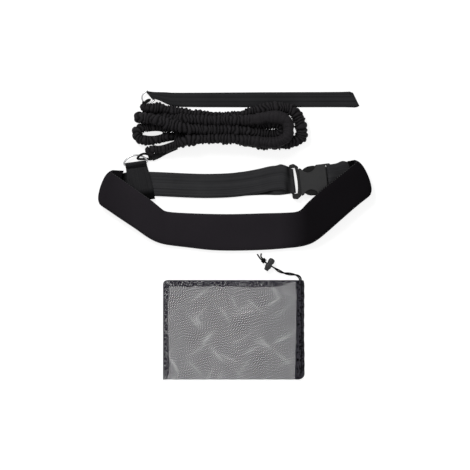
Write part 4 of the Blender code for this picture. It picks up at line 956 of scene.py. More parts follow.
# The pad between its folds, as (x, y, height of its middle, angle of the line across, width)
PAD_STATIONS = [
    (-218, 64.8, 15.4, 63, LEFT_LEG_WIDTH),
    (-182, 40, 13.6, 62, LEFT_LEG_WIDTH - 1),
    (-157, 21.8, 9.6, 69, LEFT_LEG_WIDTH - 3),
    (-136, 14, 6.4, 84, LEFT_LEG_WIDTH - 0.5),
    (-97, 9.6, 5.05, 92, PAD_CENTRE_WIDTH - 5),
    (-49, 6, 5.05, 91, PAD_CENTRE_WIDTH - 1),
    (0, 5.2, 5.05, 90, PAD_CENTRE_WIDTH),
    (59, 6.8, 5.05, 89, PAD_CENTRE_WIDTH),
    (107, 9.4, 5.6, 89, PAD_CENTRE_WIDTH - 2.6),
    (135, 14.4, 9.6, 98, RIGHT_LEG_WIDTH + 1),
    (157, 29, 14.4, 110, RIGHT_LEG_WIDTH + 2),
    (190, 58, 18.6, 121, RIGHT_LEG_WIDTH + 3),
    (218.4, 81.6, 18.2, 118, RIGHT_LEG_WIDTH + 1.6),
]


def fold(axis, fold_angle, heading, radius, underlap):
    """Station rows of a strip that turns under along a skew line, from the fold's line to the strip's end."""
    across = turned(fold_angle)
    along = turned(heading)
    outward = np.array([across[1], -across[0], 0.0])
    if outward.dot(along) < 0:
        outward = -outward
    slope = along.dot(across)
    rise = along.dot(outward)
    middle = np.array([*axis, PAD_THICKNESS / 2 + 2 * radius])
    out = []
    for k, (cosine, sine) in enumerate(arc(0.0, 180.0, FOLD_STEPS)):
        drift = across * (radius * (math.pi * k / FOLD_STEPS) / rise * slope)
        centre = middle + drift + outward * (radius * sine) + UP * (radius * (cosine - 1))
        bow = outward * (FOLD_SWELL * sine)
        out.append([*centre, *(across / rise), *(outward * sine + UP * cosine), bow[0], bow[1]])
    back = across * slope - outward * rise
    end = np.array(out[-1])
    for share in (0.5, 1.0):
        out.append([*(end[:3] + back * (underlap * share)), *end[3:9], 0.0, 0.0])
    return np.array(out)


def pad_rows():
    """The pad's stations with their widths, from its left end under the belt to its right end."""
    left = fold(PAD_LEFT_AXIS, LEFT_FOLD_ANGLE, PAD_LEFT_HEADING, LEFT_FOLD_RADIUS, LEFT_UNDERLAP)
    right = fold(PAD_RIGHT_AXIS, RIGHT_FOLD_ANGLE, PAD_RIGHT_HEADING, RIGHT_FOLD_RADIUS, RIGHT_UNDERLAP)
    table = [(*left[0, :3], LEFT_FOLD_ANGLE, LEFT_LEG_WIDTH), *PAD_STATIONS]
    table.append((*right[0, :3], RIGHT_FOLD_ANGLE, RIGHT_LEG_WIDTH))
    fine = smooth_rows(table, 2)
    fine[:, 2] = np.maximum(fine[:, 2], PAD_THICKNESS / 2 + 0.05)
    middle = np.hstack([stations(fine[:, :3], fine[:, 3]), np.zeros((len(fine), 2))])
    rows = np.vstack([left[::-1], middle[1:-1], right])
    narrower = np.interp(np.arange(len(right)), [len(right) - 4, len(right) - 1], [0.0, END_TAPER])
    widths = np.concatenate([np.full(len(left), LEFT_LEG_WIDTH), fine[1:-1, 4], RIGHT_LEG_WIDTH - narrower])
    return rows, widths


COVER_EDGE = 1.6
COVER_RISE = 2.9
BOW_MIDDLE, BOW_CORNERS = 0.85, 0.6  # how far a fold's middle stands out, and its corners draw in


def pad_profile():
    """The cover's section, one wide: full in its middle, with round edges."""
    top = []
    for cosine, _ in arc(0.0, 180.0, 16):
        t = -0.4925 * cosine
        top.append((t, COVER_EDGE + COVER_RISE * (1 - (abs(t) * 2) ** 5) ** 0.5))
    rim = [(0.4995, 0.7), (0.5, 0.0), (0.4995, -0.7)]
    return closed_profile(top, rim)


CLOTH_FRAMES = 16
CLOTH_QUALITY = 5
CLOTH_MASS = 0.2
CLOTH_TENSION = 18.0
CLOTH_COMPRESSION = 12.0
CLOTH_BENDING = 1.2
PAD_PRESSURE = 3.0
PAD_CAP = 1.2  # how far the cloth solver may move a point
SEAM_PLACE = 0.483
FINER = 4
HELD_ROWS = 5
SEAM_MARGIN = 24  # rows at each end of the pad without a seam
SHADED_END_ROWS, SHADED_END_FADE = 22.0, 8.0  # how many rows at each end are in the shade, and over how many it fades
# The cover's lining, turned in at its ends, as (how deep, share of the height)
LIPS = [(0.5, 0.62), (6.0, 0.5), (14.0, 0.5)]


def simulate(made, pinned):
    """Blows a soft shell up with the cloth solver, and keeps the result within PAD_CAP of where it was."""
    rest = places(made) * MM
    group = made.vertex_groups.new(name="pins")
    group.add([int(i) for i in pinned], 1.0, "REPLACE")
    step = made.modifiers.new("cloth", "CLOTH")
    step.settings.quality = CLOTH_QUALITY
    step.settings.mass = CLOTH_MASS
    step.settings.tension_stiffness = CLOTH_TENSION
    step.settings.compression_stiffness = CLOTH_COMPRESSION
    step.settings.bending_stiffness = CLOTH_BENDING
    step.settings.use_pressure = True
    step.settings.uniform_pressure_force = PAD_PRESSURE
    step.settings.effector_weights.gravity = 0.0
    step.settings.vertex_group_mass = "pins"
    step.collision_settings.use_collision = False
    scene = bpy.context.scene
    scene.frame_start, scene.frame_end = 1, CLOTH_FRAMES
    for number in range(1, CLOTH_FRAMES + 1):
        scene.frame_set(number)
    move = places(made.evaluated_get(bpy.context.evaluated_depsgraph_get())) * MM - rest
    made.modifiers.remove(step)
    made.vertex_groups.remove(group)
    far = np.linalg.norm(move, axis=1, keepdims=True)
    move *= np.minimum(1.0, PAD_CAP * MM / np.maximum(far, 1e-9))
    made.data.vertices.foreach_set("co", (rest + move).astype(np.float32).ravel())
    made.data.update()
    scene.frame_set(1)


def make_pad():
    """The soft sleeve of the waist pad, puffed by the foam in it and turned in at its two open ends."""
    rows, widths = pad_rows()
    fine = finer(np.hstack([rows, widths[:, None]]), FINER)
    rows, bows, widths = fine[:, :9], fine[:, 9:11], fine[:, 11]
    profile = pad_profile()
    n = len(profile)
    skin = swept(rows, profile, widths)
    share = (2 * profile[:, 0]) ** 2
    skin[..., :2] += bows[:, None] * (BOW_MIDDLE - share - BOW_CORNERS * share**4)[None, :, None]
    lips = []
    for end, step in ((0, 1), (-1, -1)):
        inward = unit(rows[end + step * FINER, :3] - rows[end, :3])
        for deep, thin in LIPS:
            lips.append(swept(rows[[end]], profile * [0.985, thin], widths[[end]])[0] + inward * deep)
    grid = np.concatenate([np.array(lips[2::-1]), skin, np.array(lips[3:])])
    made = grid_piece("pad_cover_cloth", grid, surfaces["pad"])
    mended(made)
    # Painted shade, kept for each vertex, on the rows at each end where the cover turns under the folds
    from_end = np.minimum(np.arange(len(grid)), np.arange(len(grid))[::-1])
    store(made, "inner", np.repeat(np.clip((SHADED_END_ROWS - from_end) / SHADED_END_FADE, 0.0, 1.0), n))
    held = HELD_ROWS * n
    simulate(made, np.concatenate([np.arange(held), np.arange(len(grid) * n - held, len(grid) * n)]))
    laid(made)
    work = made.modifiers.new("smooth", "SUBSURF")
    work.levels = work.render_levels = 1
    dress(made, "belt", "pad_fabric", "pad_cover", "pad_foam")
    shaped = places(made).reshape(len(grid), n, 3)
    upper_side = np.flatnonzero(profile[:, 1] > 1.0)
    for number, place in enumerate((-SEAM_PLACE, SEAM_PLACE)):
        column = upper_side[np.argmin(np.abs(profile[upper_side, 0] - place))]
        line = shaped[SEAM_MARGIN:-SEAM_MARGIN, column] - [0, 0, 0.1]
        dress(stitches(f"pad_seam_{number + 1}", line), "belt", "pad_fabric")


make_pad()

WEBBING_WIDTH = 48.6
WEBBING_THICKNESS = 1.6
WEBBING_HEIGHT = 3.05
WEBBING_ACROSS_PAD = 4.0
BUCKLE_ORIGIN = (122.0, 104.6)
BUCKLE_ANGLE = 7.0
BUCKLE_HEIGHT = 12.6
PLATE_THICKNESS = 5.0
BAR_WIDTH = 5.0
MALE_BAR_CENTRE = -8.0
FEMALE_BAR_CENTRE = 69.2
TAIL_POINTS = [(6, 101.4, 0.95), (30, 103.2, 0.95), (60, 104.4, 0.95), (88, 104, 1.2)]
BACK_POINTS = [
    (96, 115.6, 9), (74, 113.6, 4.2), (54, 109, WEBBING_HEIGHT), (23, 103.2, WEBBING_HEIGHT),
    (-14, 99.2, WEBBING_HEIGHT), (-62, 98, WEBBING_HEIGHT), (-110, 99.6, WEBBING_HEIGHT),
    (-157, 101.8, WEBBING_HEIGHT), (-206, 102.4, WEBBING_HEIGHT),
]
SHORT_POINTS = [(221, 118.6, 3), (208, 116.8, 4.8)]
SHORT_END_POINTS = [(201, 115.8, 1.4), (211.5, 117.2, 2)]


def buckle_point(u, v, z):
    """A place in the buckle's own frame, u along the belt and v across it."""
    return np.array([*BUCKLE_ORIGIN, z]) + turned(BUCKLE_ANGLE) * u + turned(BUCKLE_ANGLE + 90) * v


def bar_wrap(bar_centre, v, first, last):
    """The webbing's turn round a buckle's bar, between two angles in degrees."""
    radius = math.hypot(PLATE_THICKNESS, BAR_WIDTH) / 2 + GAP + WEBBING_THICKNESS / 2 + 0.1
    return [
        buckle_point(bar_centre + radius * cosine, v, BUCKLE_HEIGHT / 2 + radius * sine)
        for cosine, sine in arc(first, last, 6)
    ]


BACK_ANGLE = 88.0
# Where the short end widens as it goes under the right fold, and by how much
RISE_START = 192.0
RISE_LENGTH = 32.0
RISE_WIDTH = 7.0
RISE_SHIFT = 2.6
RISE_END = 236.0
RISE_BELOW = 12.0  # the run through the pad is above this
# Where the webbing is in the shade: by the pad, at the plug's bar, and at the loose end under the back run
PAD_SHADE_X, PAD_SHADE_LENGTH = -211.0, 10.0
BAR_SHADE_X, BAR_SHADE_REACH, BAR_SHADE_ABOVE = 106.0, 4.6, 3.0
TAIL_SHADE_X, TAIL_SHADE_TOP = 96.0, 1.9


def make_webbing():
    """The belt's one long webbing, from its loose end round both buckle bars."""
    pad, _ = pad_rows()
    lift = PAD_THICKNESS / 2 - COVER_WALL - GAP - WEBBING_THICKNESS / 2 - 0.35
    inside = pad[:, :3] + pad[:, 3:6] * WEBBING_ACROSS_PAD + pad[:, 6:9] * lift
    inside_angles = np.degrees(np.arctan2(pad[:, 4], pad[:, 3])).tolist()
    back = smooth_rows([*BACK_POINTS, inside[0]], 2)[:-1]
    male = bar_wrap(MALE_BAR_CENTRE, 4.0, -90, 90)
    female = bar_wrap(FEMALE_BAR_CENTRE, 3.0, 90, 270)
    points = [*TAIL_POINTS, *male, *back, *inside, *SHORT_POINTS, *female, *SHORT_END_POINTS]
    at_buckle = BUCKLE_ANGLE + 90
    angles = [91.0, 90.0, 90.0, 95.0] + [at_buckle] * len(male)
    for share in np.linspace(0.0, 3.0, len(back)):
        near, far = max(0.0, 1.0 - share), max(0.0, share - 2.0)
        angles.append(BACK_ANGLE + (at_buckle - BACK_ANGLE) * near + (inside_angles[0] - BACK_ANGLE) * far)
    angles += inside_angles + [106.0, 100.0] + [at_buckle] * len(female) + [98.0, 99.0]
    rows = finer(stations(points, angles), 3)
    rising = np.clip((rows[:, 0] - RISE_START) / RISE_LENGTH, 0.0, 1.0)
    rising = evened(rising * (rows[:, 2] < RISE_BELOW) * (rows[:, 0] < RISE_END), 2)
    rows[:, :3] += rows[:, 3:6] * (RISE_SHIFT * rising)[:, None]
    widths = WEBBING_WIDTH + RISE_WIDTH * rising
    made = strip("belt_webbing_cloth", rows, WEBBING_THICKNESS, surfaces["webbing"], widths)
    # Painted shade by the pad's mouth, at the plug's bar and on the loose end under the back run
    x, _, z = places(made).T
    by_pad = np.clip((PAD_SHADE_X - x) / PAD_SHADE_LENGTH, 0.0, 1.0)
    at_bar = np.exp(-(((x - BAR_SHADE_X) / BAR_SHADE_REACH) ** 2)) * (z > BAR_SHADE_ABOVE)
    tail = (x < TAIL_SHADE_X) & (x > 0.0) & (z < TAIL_SHADE_TOP)
    store(made, "painted_shade", np.maximum.reduce([by_pad, at_bar * 0.9, tail * 0.8]))
    dress(made, "belt", "webbing", "belt_webbing")


make_webbing()

TAB_ANGLE = 8.0
TAB_TILT = 11.0
TAB_LENGTH = 72.4
TAB_NECK, TAB_WIDENING = 8.0, 30.0  # where the tab starts to widen, and over what length
# Where the tab is in the shade: where it turns under, in y, and by its ring, down its length
TAB_SHADE_Y, TAB_SHADE_LENGTH = 89.0, 5.0
RING_SHADE_PLACE, RING_SHADE_REACH, RING_SHADE = 4.6, 1.6, 0.6
BELT_RING_WIRE = 3.5
BELT_RING_CENTRE = (-198.2, 143.0)
BELT_RING_HEIGHT = 5.9
BELT_RING_WIDTH = 47.0
BELT_RING_SIDE = 4.4
BELT_RING_DEPTH = 16.3
TAB_RING_WIDTH = BELT_RING_WIDTH - BELT_RING_WIRE - 2 * GAP
RING_CORNER = 2.0
ANCHOR_WEBBING_WIDTH = 29.8
ANCHOR_RING_WIRE = 3.0
ANCHOR_RING_HEIGHT = 5.8
ANCHOR_RING_SIDE = 8.0
ANCHOR_RING_DEPTH = 20.0
ANCHOR_BAR_ENDS = ((-175.8, 288.6), (-160.2, 270.5))
ANCHOR_RING_ROW = (-49.3, 20.4)
ANCHOR_SLANT_ANGLE = -64.0
ANCHOR_LAYER_SHIFT = 0.8
LOWER_LAY = WEBBING_THICKNESS / 2
UPPER_LAY = LOWER_LAY + WEBBING_THICKNESS + GAP
# The strap's two layers, as (x, y, upper height, lower height, angle of the line across, width)
ANCHOR_ROWS = [
    (-156, 277.2, 7.6, 2.4, -58, 20.5),
    (-134, 272.6, 4.2, 1.2, -78, 25.4),
    (-108, 270.2, UPPER_LAY, LOWER_LAY, -88, ANCHOR_WEBBING_WIDTH - 2.8),
    (60, 270.4, UPPER_LAY, LOWER_LAY, -90, ANCHOR_WEBBING_WIDTH - 1.2),
    (214, 270.8, UPPER_LAY, LOWER_LAY, -86, ANCHOR_WEBBING_WIDTH - 0.6),
    (234, 271, UPPER_LAY, LOWER_LAY, ANCHOR_SLANT_ANGLE - 4, ANCHOR_WEBBING_WIDTH + 3),
    (240.6, 271, UPPER_LAY, LOWER_LAY, ANCHOR_SLANT_ANGLE, ANCHOR_WEBBING_WIDTH - 0.6),
]


def ring_outline(width, side, depth):
    """A D-ring's wire line about the middle of its bar, x along the bar and y towards its arc."""
    rise = depth - side
    radius = ((width / 2) ** 2 + rise**2) / (2 * rise)
    centre = depth - radius
    first = math.degrees(math.asin((side - centre) / radius))
    straight = width / 2 - RING_CORNER
    corner = [(straight + RING_CORNER * s, RING_CORNER * (1 - c)) for c, s in arc(0, 90, 6)[1:]]
    points = [(x, 0.0) for x in np.linspace(-straight, straight, 13)] + corner
    points += [(radius * c, centre + radius * s) for c, s in arc(first, 180 - first, 40)]
    return points + [(-x, y) for x, y in reversed(corner)]


def make_ring(name, middle, bar, out, outline, wire, body, node):
    """A bent and welded wire ring."""
    points = np.array([middle + bar * x + out * y for x, y in outline])
    dress(tube(name, points, wire / 2, surfaces["steel"], sides=20, closed=True), body, "steel", node)


def make_tab():
    """The loop of webbing that slides on the belt and holds the ring."""
    layer = WEBBING_THICKNESS
    ring_turn = BELT_RING_WIRE / 2 + GAP + layer / 2
    low = layer / 2 + 0.05
    high = WEBBING_HEIGHT + WEBBING_THICKNESS / 2 + GAP + layer / 2
    stitched = low + layer + GAP
    end_turn = (high - low) / 2
    profile = [(-ring_turn * s, BELT_RING_HEIGHT - ring_turn * c) for c, s in arc(0, 180, 6)]
    profile += [(5.0, BELT_RING_HEIGHT + 0.4), (8.0, stitched), (9.6, stitched), (11.6, high), (40.0, high)]
    profile += [(TAB_LENGTH + end_turn * s, (high + low) / 2 + end_turn * c) for c, s in arc(0, 180, 4)]
    profile = np.array(profile + [(40.0, low), (10.0, low), (5.0, low + 0.6)])
    down = -turned(TAB_TILT + 90)
    top = np.array([*BELT_RING_CENTRE, 0.0])
    points = top + profile[:, :1] * down + profile[:, 1:] * UP
    opening = np.clip((profile[:, :1] - TAB_NECK) / TAB_WIDENING, 0.0, 1.0)
    widths = TAB_RING_WIDTH + (WEBBING_WIDTH - TAB_RING_WIDTH) * opening
    rows = stations(points, [TAB_ANGLE] * len(points), closed=True)
    rows = finer(np.hstack([rows, widths]), 3, closed=True)
    made = strip("ring_tab_cloth", rows[:, :9], layer, surfaces["tab"], rows[:, 9], closed=True)
    # Painted shade where the tab turns under and where it wraps its ring
    place = places(made)
    turn_under = np.clip((TAB_SHADE_Y - place[:, 1]) / TAB_SHADE_LENGTH, 0.0, 1.0)
    from_ring = ((place - top) @ down - RING_SHADE_PLACE) / RING_SHADE_REACH
    by_ring = np.exp(-(from_ring**2)) * RING_SHADE
    store(made, "painted_shade", np.maximum(turn_under, by_ring))
    dress(made, "tab", "webbing", "ring_tab")
    outline = ring_outline(BELT_RING_WIDTH, BELT_RING_SIDE, BELT_RING_DEPTH)
    middle = np.array([*BELT_RING_CENTRE, BELT_RING_HEIGHT])
    bar, out = turned(TAB_ANGLE), turned(TAB_ANGLE + 90)
    make_ring("belt_ring_wire", middle, bar, out, outline, BELT_RING_WIRE, "ring_on_belt", "belt_ring")


def make_anchor():
    """The loop of webbing that goes round a fixed post, and its ring."""
    low, high = (np.array([*p, ANCHOR_RING_HEIGHT]) for p in ANCHOR_BAR_ENDS)
    bar = unit(high - low)
    out = np.array([bar[1], -bar[0], 0.0])
    if out[0] > 0:
        out = -out
    middle = (low + high) / 2
    outline = ring_outline(float(np.linalg.norm(high - low)), ANCHOR_RING_SIDE, ANCHOR_RING_DEPTH)
    make_ring("anchor_ring_wire", middle, bar, out, outline, ANCHOR_RING_WIRE, "ring_on_strap", "anchor_ring")

    near_turn = ANCHOR_RING_WIRE / 2 + GAP + WEBBING_THICKNESS / 2
    far_turn = (UPPER_LAY - LOWER_LAY) / 2
    shifts = [ANCHOR_LAYER_SHIFT * min(1.0, i / 2) for i in range(len(ANCHOR_ROWS))]
    rows = [
        (*(middle + out * near_turn * s)[:2], ANCHOR_RING_HEIGHT - near_turn * c, *ANCHOR_RING_ROW)
        for c, s in arc(0, 180, 6)
    ]
    for shift, (x, y, upper, _, angle, width) in zip(shifts, ANCHOR_ROWS):
        rows.append((x, y + shift, upper, angle, width))
    x, y, _, _, angle, width = ANCHOR_ROWS[-1]
    for c, s in arc(0, 180, 6)[1:-1]:
        height = (UPPER_LAY + LOWER_LAY) / 2 + far_turn * c
        rows.append((x + far_turn * s, y + ANCHOR_LAYER_SHIFT * c, height, angle, width))
    for shift, (x, y, _, lower, angle, width) in reversed(list(zip(shifts, ANCHOR_ROWS))):
        rows.append((x, y - shift, lower, angle, width))
    rows = np.array(rows)
    made = stations(rows[:, :3], rows[:, 3], closed=True)
    made[:, 3:6] = unit(made[:, 3:6])
    rows = finer(np.hstack([made, rows[:, 4:5]]), 3, closed=True)
    rows[:, 3:6] = unit(rows[:, 3:6])
    strap = strip(
        "anchor_strap_cloth", rows[:, :9], WEBBING_THICKNESS, surfaces["strap"], rows[:, 9], closed=True
    )
    dress(strap, "strap", "webbing", "anchor_strap")


make_tab()
make_anchor()

NET_ALONG = 4.1  # the net's holes stand in staggered rows, this far apart in a row
NET_ROWS = 4.4  # and this far apart from one row to the next but one
NET_HOLE = (1.41, 1.18)  # a hole's reach at its four points, and at the corners between them
# Slanting lines along which the net is pulled open, as (direction, spacing)
STREAKS = [(42.0, 46.0), (-41.0, 58.0), (33.0, 74.0), (-52.0, 83.0)]
STREAK_OPENING = 0.17
STREAK_WIDTH = 0.11
STREAK_BEND, STREAK_BEND_LENGTH = 9.0, 38.0
STREAK_BEATS = (13.0, 19.0)
PANEL_LIE = (0.62, 1.95)
BACK_SPIN = 41.0
HEM_LIE = (1.2, 2.55)
HEM_SPINS = (22.0, 63.0)
HEM_ROLL = 0.75
# How deep the top hem is along it, as (x, depth), and the left hem, as (y, depth)
TOP_HEM = [
    (-143.8, 9), (-128, 11.6), (-90, 12.4), (-40, 11.4), (20, 13), (70, 13.4), (90, 11.6), (101, 6),
    (112, 3.2), (124, 2.6),
]
LEFT_HEM = [
    (-90.2, 11.8), (-120, 10.4), (-160, 8.8), (-205, 9.6), (-240, 10.8), (-262, 12.2), (-276, 12.4),
    (-284, 8.6), (-289, 5),
]
# The channel's left and right edges, as (y, x of the left one, x of the right one)
CHANNEL_EDGES = [
    (-289, 120.4, 128.6), (-287.6, 119.2, 133.4), (-284.6, 118.8, 137), (-280.6, 118.9, 138.9),
    (-272, 119.8, 139.4), (-240, 121.2, 139.3), (-200, 122.4, 138.5), (-150, 122.8, 138.8),
    (-120, 122.6, 139), (-97, 122, 138.8), (-92, 121.6, 138.2), (-90.4, 122.4, 137),
]
NET_RAISE = 0.16
PANEL_SEED = 3
CLOTH_SHIFT = 1.25
WAVE_COUNT = 7
WAVE_LENGTHS = (34.0, 110.0)
NET_MARGIN = 14.0  # how far in from its edges a panel starts to lie freely
NET_LIFT, NET_LIFT_LIMIT = 0.22, 0.45


def streaks(spots):
    """Where loose net lies pulled open along slanting lines, from 0 to 1."""
    random = np.random.default_rng(17)
    total = np.zeros(len(spots))
    for heading, long in STREAKS:
        way = turned(heading)
        across = spots @ np.array([way[1], -way[0]])
        along = spots @ way[:2]
        bend = STREAK_BEND * np.sin(along / STREAK_BEND_LENGTH + random.uniform(0, 6.28))
        off = np.sin((across + bend) * math.pi / long + random.uniform(0, 6.28)) / STREAK_WIDTH
        ridge = np.exp(-(off**2))
        beat = np.floor(across / long) * 2.3
        held = np.sin(along / random.uniform(*STREAK_BEATS) + beat + random.uniform(0, 6.28))
        total += ridge * np.clip(held, 0.0, 1.0)
    return np.clip(total, 0.0, 1.0)


def net_lattice(low, high, spin):
    """The corners and the faces of a flat net that fills a box, its rows turned by spin degrees."""
    low, high = np.array(low), np.array(high)
    a, b = NET_ALONG / 2, NET_ROWS / 2
    reach = float(np.linalg.norm(high - low)) / 2 + NET_ALONG
    columns, rows = int(reach / a), int(reach / b)
    i, j = np.meshgrid(np.arange(-columns, columns + 1), np.arange(-rows, rows + 1), indexing="ij")
    even = (i + j) % 2 == 0
    turn = turned(spin)[:2]
    spinning = np.array([[turn[0], turn[1]], [-turn[1], turn[0]]])
    cells = np.column_stack([i[even] * a, j[even] * b]) @ spinning + (low + high) / 2
    corner = np.array([(2, 0), (1, 1), (0, 2), (-1, 1), (-2, 0), (-1, -1), (0, -2), (1, -1)]) * [a / 2, b / 2]
    hole = unit(corner) * np.array(NET_HOLE * 4)[:, None]
    closed = 0.03 + 0.035 * np.clip(cells[:, 0] / 110.0, 0.0, 1.0)
    wide_open = (1 + STREAK_OPENING * streaks(cells) - closed)[:, None, None]
    corners = np.broadcast_to(corner @ spinning, (len(cells), 8, 2))
    flat = cells[:, None] + np.concatenate([corners, (hole @ spinning)[None] * wide_open], axis=1)
    inside = np.all((flat > low) & (flat < high), axis=2).any(axis=1)
    flat = np.clip(flat[inside], low, high)
    raised = np.tile([NET_RAISE] * 8 + [0.0] * 8, len(flat))
    n = np.arange(len(flat))[:, None] * 16
    k = np.arange(8)[None]
    after = (k + 1) % 8
    faces = np.stack([n + k, n + after, n + 8 + after, n + 8 + k], axis=-1).reshape(-1, 4)
    return flat.reshape(-1, 2), faces, raised


def cloth_waves(flat, seed):
    """Soft random shifts of points in loose cloth, in the plan and up."""
    random = np.random.default_rng(seed)
    waves = np.zeros((len(flat), 3))
    for _ in range(WAVE_COUNT):
        heading = random.uniform(0, 2 * math.pi)
        long = random.uniform(*WAVE_LENGTHS)
        shift = random.uniform(0, 2 * math.pi)
        phase = (flat[:, 0] * math.cos(heading) + flat[:, 1] * math.sin(heading)) * 2 * math.pi / long + shift
        for axis, size in enumerate((CLOTH_SHIFT, CLOTH_SHIFT, 1.0)):
            waves[:, axis] += np.sin(phase + axis) * random.uniform(-1, 1) * size
    return waves


def in_bag(spots):
    """Whether places in the plan are inside the bag's rounded top left corner."""
    corner = np.array([BAG_LEFT + BAG_CORNER, BAG_TOP - BAG_CORNER])
    beyond = (spots[:, 0] < corner[0]) & (spots[:, 1] > corner[1])
    return ~beyond | (np.linalg.norm(spots - corner, axis=1) < BAG_CORNER)


def net_piece(name, points, faces):
    """A piece of net, its cells joined."""
    made = mesh_piece(name, points, faces, surfaces["net"])
    mended(made, within=0.00012, outwards=False)
    return made


def net_panel(name, low, high, height, spin):
    """A panel of knitted net with its holes open, warped a little as loose cloth is."""
    flat, faces, raised = net_lattice(low, high, spin)
    faces = faces[in_bag(flat[faces].mean(axis=1))]
    waves = cloth_waves(flat, PANEL_SEED)
    free = np.clip(np.minimum(flat - low, np.array(high) - flat).min(axis=1) / NET_MARGIN, 0.0, 1.0)
    rise = height + raised + np.clip(waves[:, 2] * NET_LIFT, -NET_LIFT_LIMIT, NET_LIFT_LIMIT) * free
    return net_piece(name, np.column_stack([flat + waves[:, :2] * free[:, None], rise]), faces)


def depth_at(table, along):
    """The hem's depth at places along it."""
    table = np.array(sorted(table))
    return np.interp(along, table[:, 0], table[:, 1]) + 0.5 * np.sin(along / 5.3) + 0.35 * np.sin(along / 2.1)


def in_hem(spots):
    """Whether places in the plan are under the top hem or the left one."""
    top = spots[:, 1] > BAG_TOP - depth_at(TOP_HEM, spots[:, 0])
    left = spots[:, 0] < BAG_LEFT + depth_at(LEFT_HEM, spots[:, 1])
    return (top | left) & in_bag(spots)


def hem_lines():
    """The hem's outer roll and its two inner folds, as lines of points with their radii."""
    corner_x, corner_y = BAG_LEFT + BAG_CORNER, BAG_TOP - BAG_CORNER
    reach = BAG_CORNER - HEM_ROLL
    outer = [(BAG_LEFT + HEM_ROLL, y, 1.6) for y in np.linspace(BAG_BOTTOM + 0.6, corner_y, 60)]
    outer += [(corner_x - reach * c, corner_y + reach * s, 1.9) for c, s in arc(0, 90, 8)[1:-1]]
    right = BAG_RIGHT - CHANNEL_WIDTH + 1.0
    outer += [(x, BAG_TOP - HEM_ROLL, 1.9) for x in np.linspace(corner_x, right, 80)]
    across = np.linspace(BAG_LEFT + 8.0, right, 90)
    under = np.column_stack([across, BAG_TOP - depth_at(TOP_HEM, across), np.full(90, 2.9)])
    down = np.linspace(BAG_TOP - 9.0, BAG_BOTTOM + 0.8, 70)
    beside = np.column_stack([BAG_LEFT + depth_at(LEFT_HEM, down), down, np.full(70, 2.9)])
    return (outer, HEM_ROLL), (under, 0.45), (beside, 0.55)


def joined_pieces(name, pieces):
    """One object from several, which are removed."""
    work = bmesh.new()
    for piece in pieces:
        work.from_mesh(piece.data)
    mesh = bpy.data.meshes.new(name)
    work.to_mesh(mesh)
    work.free()
    made = link(bpy.data.objects.new(name, mesh), pieces[0].data.materials[0])
    for piece in pieces:
        bpy.data.objects.remove(piece)
    return made


def make_hem():
    """The net folded over along the bag's top and left sides, with rolled edges."""
    random = np.random.default_rng(21)
    pieces = []
    low, high = (BAG_LEFT, BAG_BOTTOM), (BAG_RIGHT - CHANNEL_WIDTH + 2.0, BAG_TOP)
    for height, spin in zip(HEM_LIE, HEM_SPINS):
        flat, faces, raised = net_lattice(low, high, spin)
        faces = faces[in_hem(flat[faces].mean(axis=1))]
        pieces.append(net_piece("hem_layer", np.column_stack([flat, height + raised]), faces))
    for line, radius in hem_lines():
        line = evenly(line, 1.2)
        wobble = np.convolve(random.uniform(-1, 1, len(line) + 4), np.ones(5) / 5, mode="valid")
        radii = radius * (1 + 0.35 * wobble)
        pieces.append(tube("hem_edge", line, radius, surfaces["net"], sides=8, radii=radii))
    return joined_pieces("bag_hem_net", pieces)


CHANNEL_ROWS = 190
CHANNEL_COLUMNS = 20
CHANNEL_TOP, CHANNEL_FLOOR = 5.7, 0.15


def make_channel():
    """The tunnel of doubled net that the drawstring runs in, puckered along its two seams."""
    table = np.array(CHANNEL_EDGES)
    y = np.linspace(table[0, 0], table[-1, 0], CHANNEL_ROWS)
    left = np.interp(y, table[:, 0], table[:, 1]) + 0.35 * np.sin(y / 2.3) + 0.3 * np.sin(y / 5.1)
    right = np.interp(y, table[:, 0], table[:, 2]) - 0.25 * (1 + np.sin(y / 3.1))
    random = np.random.default_rng(31)
    bumps, folds = (
        np.interp(y, np.linspace(y[0], y[-1], n), random.uniform(-1, 1, n))[:, None] for n in (60, 34)
    )
    t = np.linspace(-1.0, 1.0, CHANNEL_COLUMNS)
    ridge = np.exp(-((t + 0.05) ** 2) / 0.22)
    top = 1.3 + 4.1 * ridge + 0.35 * bumps * np.cos(3 * t)
    top += 0.3 * np.sin(y[:, None] * 1.3 + 4 * t) * (1 - ridge) + 0.25 * folds * t
    across = (1 - t) / 2 * left[:, None] + (1 + t) / 2 * right[:, None]
    down = np.broadcast_to(y[:, None], across.shape)
    over = np.stack([across, down, np.minimum(top, CHANNEL_TOP)], axis=-1)
    under = over[:, ::-1].copy()
    under[..., 2] = CHANNEL_FLOOR
    grid = np.concatenate([over, under], axis=1)
    made = grid_piece("bag_channel_cloth", grid, surfaces["channel"])
    mended(made)
    store(made, "rim", np.tile(np.abs(np.concatenate([t, t[::-1]])) ** 5, len(grid)))
    return made


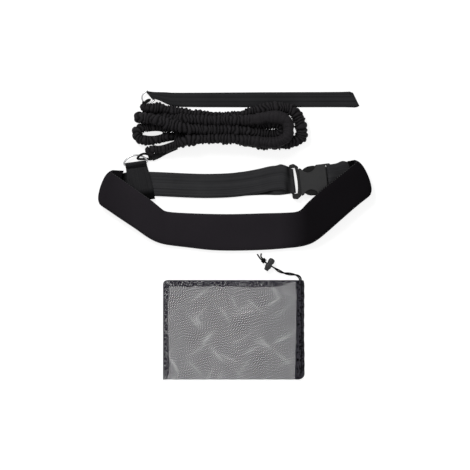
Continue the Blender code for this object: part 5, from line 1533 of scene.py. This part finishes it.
def make_bag():
    """Two net panels, a hem of the same net folded over, and the channel for the drawstring."""
    low = (BAG_LEFT + 0.8, BAG_BOTTOM)
    high = (BAG_RIGHT - CHANNEL_WIDTH + 3.0, BAG_TOP - 0.8)
    back = net_panel("bag_back_net", low, high, PANEL_LIE[0], BACK_SPIN)
    front = net_panel("bag_front_net", low, high, PANEL_LIE[1], 0.0)
    hem = make_hem()
    channel = make_channel()
    for piece, node in (
        (back, "bag_back_panel"), (front, "bag_front_panel"), (hem, "bag_hem"), (channel, "bag_channel"),
    ):
        dress(piece, "mesh_bag", "net", node)


make_bag()

# The lock's two halves as (place along its axis, radius), the body first and its hollow button second
LOCK_BODY = [
    (-13, 0), (-13, 3.5), (-12.3, 4.3), (-9.6, 4.7), (-8.2, 5), (-6.6, 6), (-5, 6.25), (-1.4, 6.25),
    (-0.2, 5.9), (0.1, 5.2), (6.4, 5.1), (6.4, 0),
]
LOCK_BUTTON = [
    (4.6, 5.5), (4.6, 6.1), (5.1, 6.35), (8.6, 6.35), (11.4, 5.9), (13, 4.6), (13.8, 2.6), (14, 0),
    (12.6, 0), (12.2, 2.4), (11.2, 4.2), (9.8, 5.3), (8.6, 5.5), (4.7, 5.5),
]
LOCK_SIDES = 48


def lathed(name, outline, body, node):
    """A round piece of the lock, turned about its axis."""
    along = turned(LOCK_ANGLE)
    across = turned(LOCK_ANGLE + 90)
    turn = 2 * math.pi * np.arange(LOCK_SIDES) / LOCK_SIDES
    around = np.cos(turn)[:, None] * across + np.sin(turn)[:, None] * UP
    centre = np.array([*LOCK_CENTRE, LOCK_DIAMETER / 2 + 0.15])
    grid = np.array([centre + along * u + around * r for u, r in smooth_rows(outline, 3)])
    made = grid_piece(name, grid, surfaces["plastic"])
    mended(made, within=0.00002)
    dress(made, body, "acetal", node)


lathed("cord_lock_barrel", LOCK_BODY, "cord_lock", "cordlock_body")
lathed("cord_lock_button", LOCK_BUTTON, "lock_button", "cordlock_button")

# The buckle keeps its CAD shape
for node, key in (
    ("buckle_socket", "plastic"), ("buckle_plug", "plug_plastic"),
    # the prongs get the darker copy of the acetal, painted shade for their recesses
    ("buckle_prong_upper", "recess_shade_plastic"), ("buckle_prong_lower", "recess_shade_plastic"),
):
    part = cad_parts[node]
    part.data.materials.clear()
    part.data.materials.append(surfaces[key])
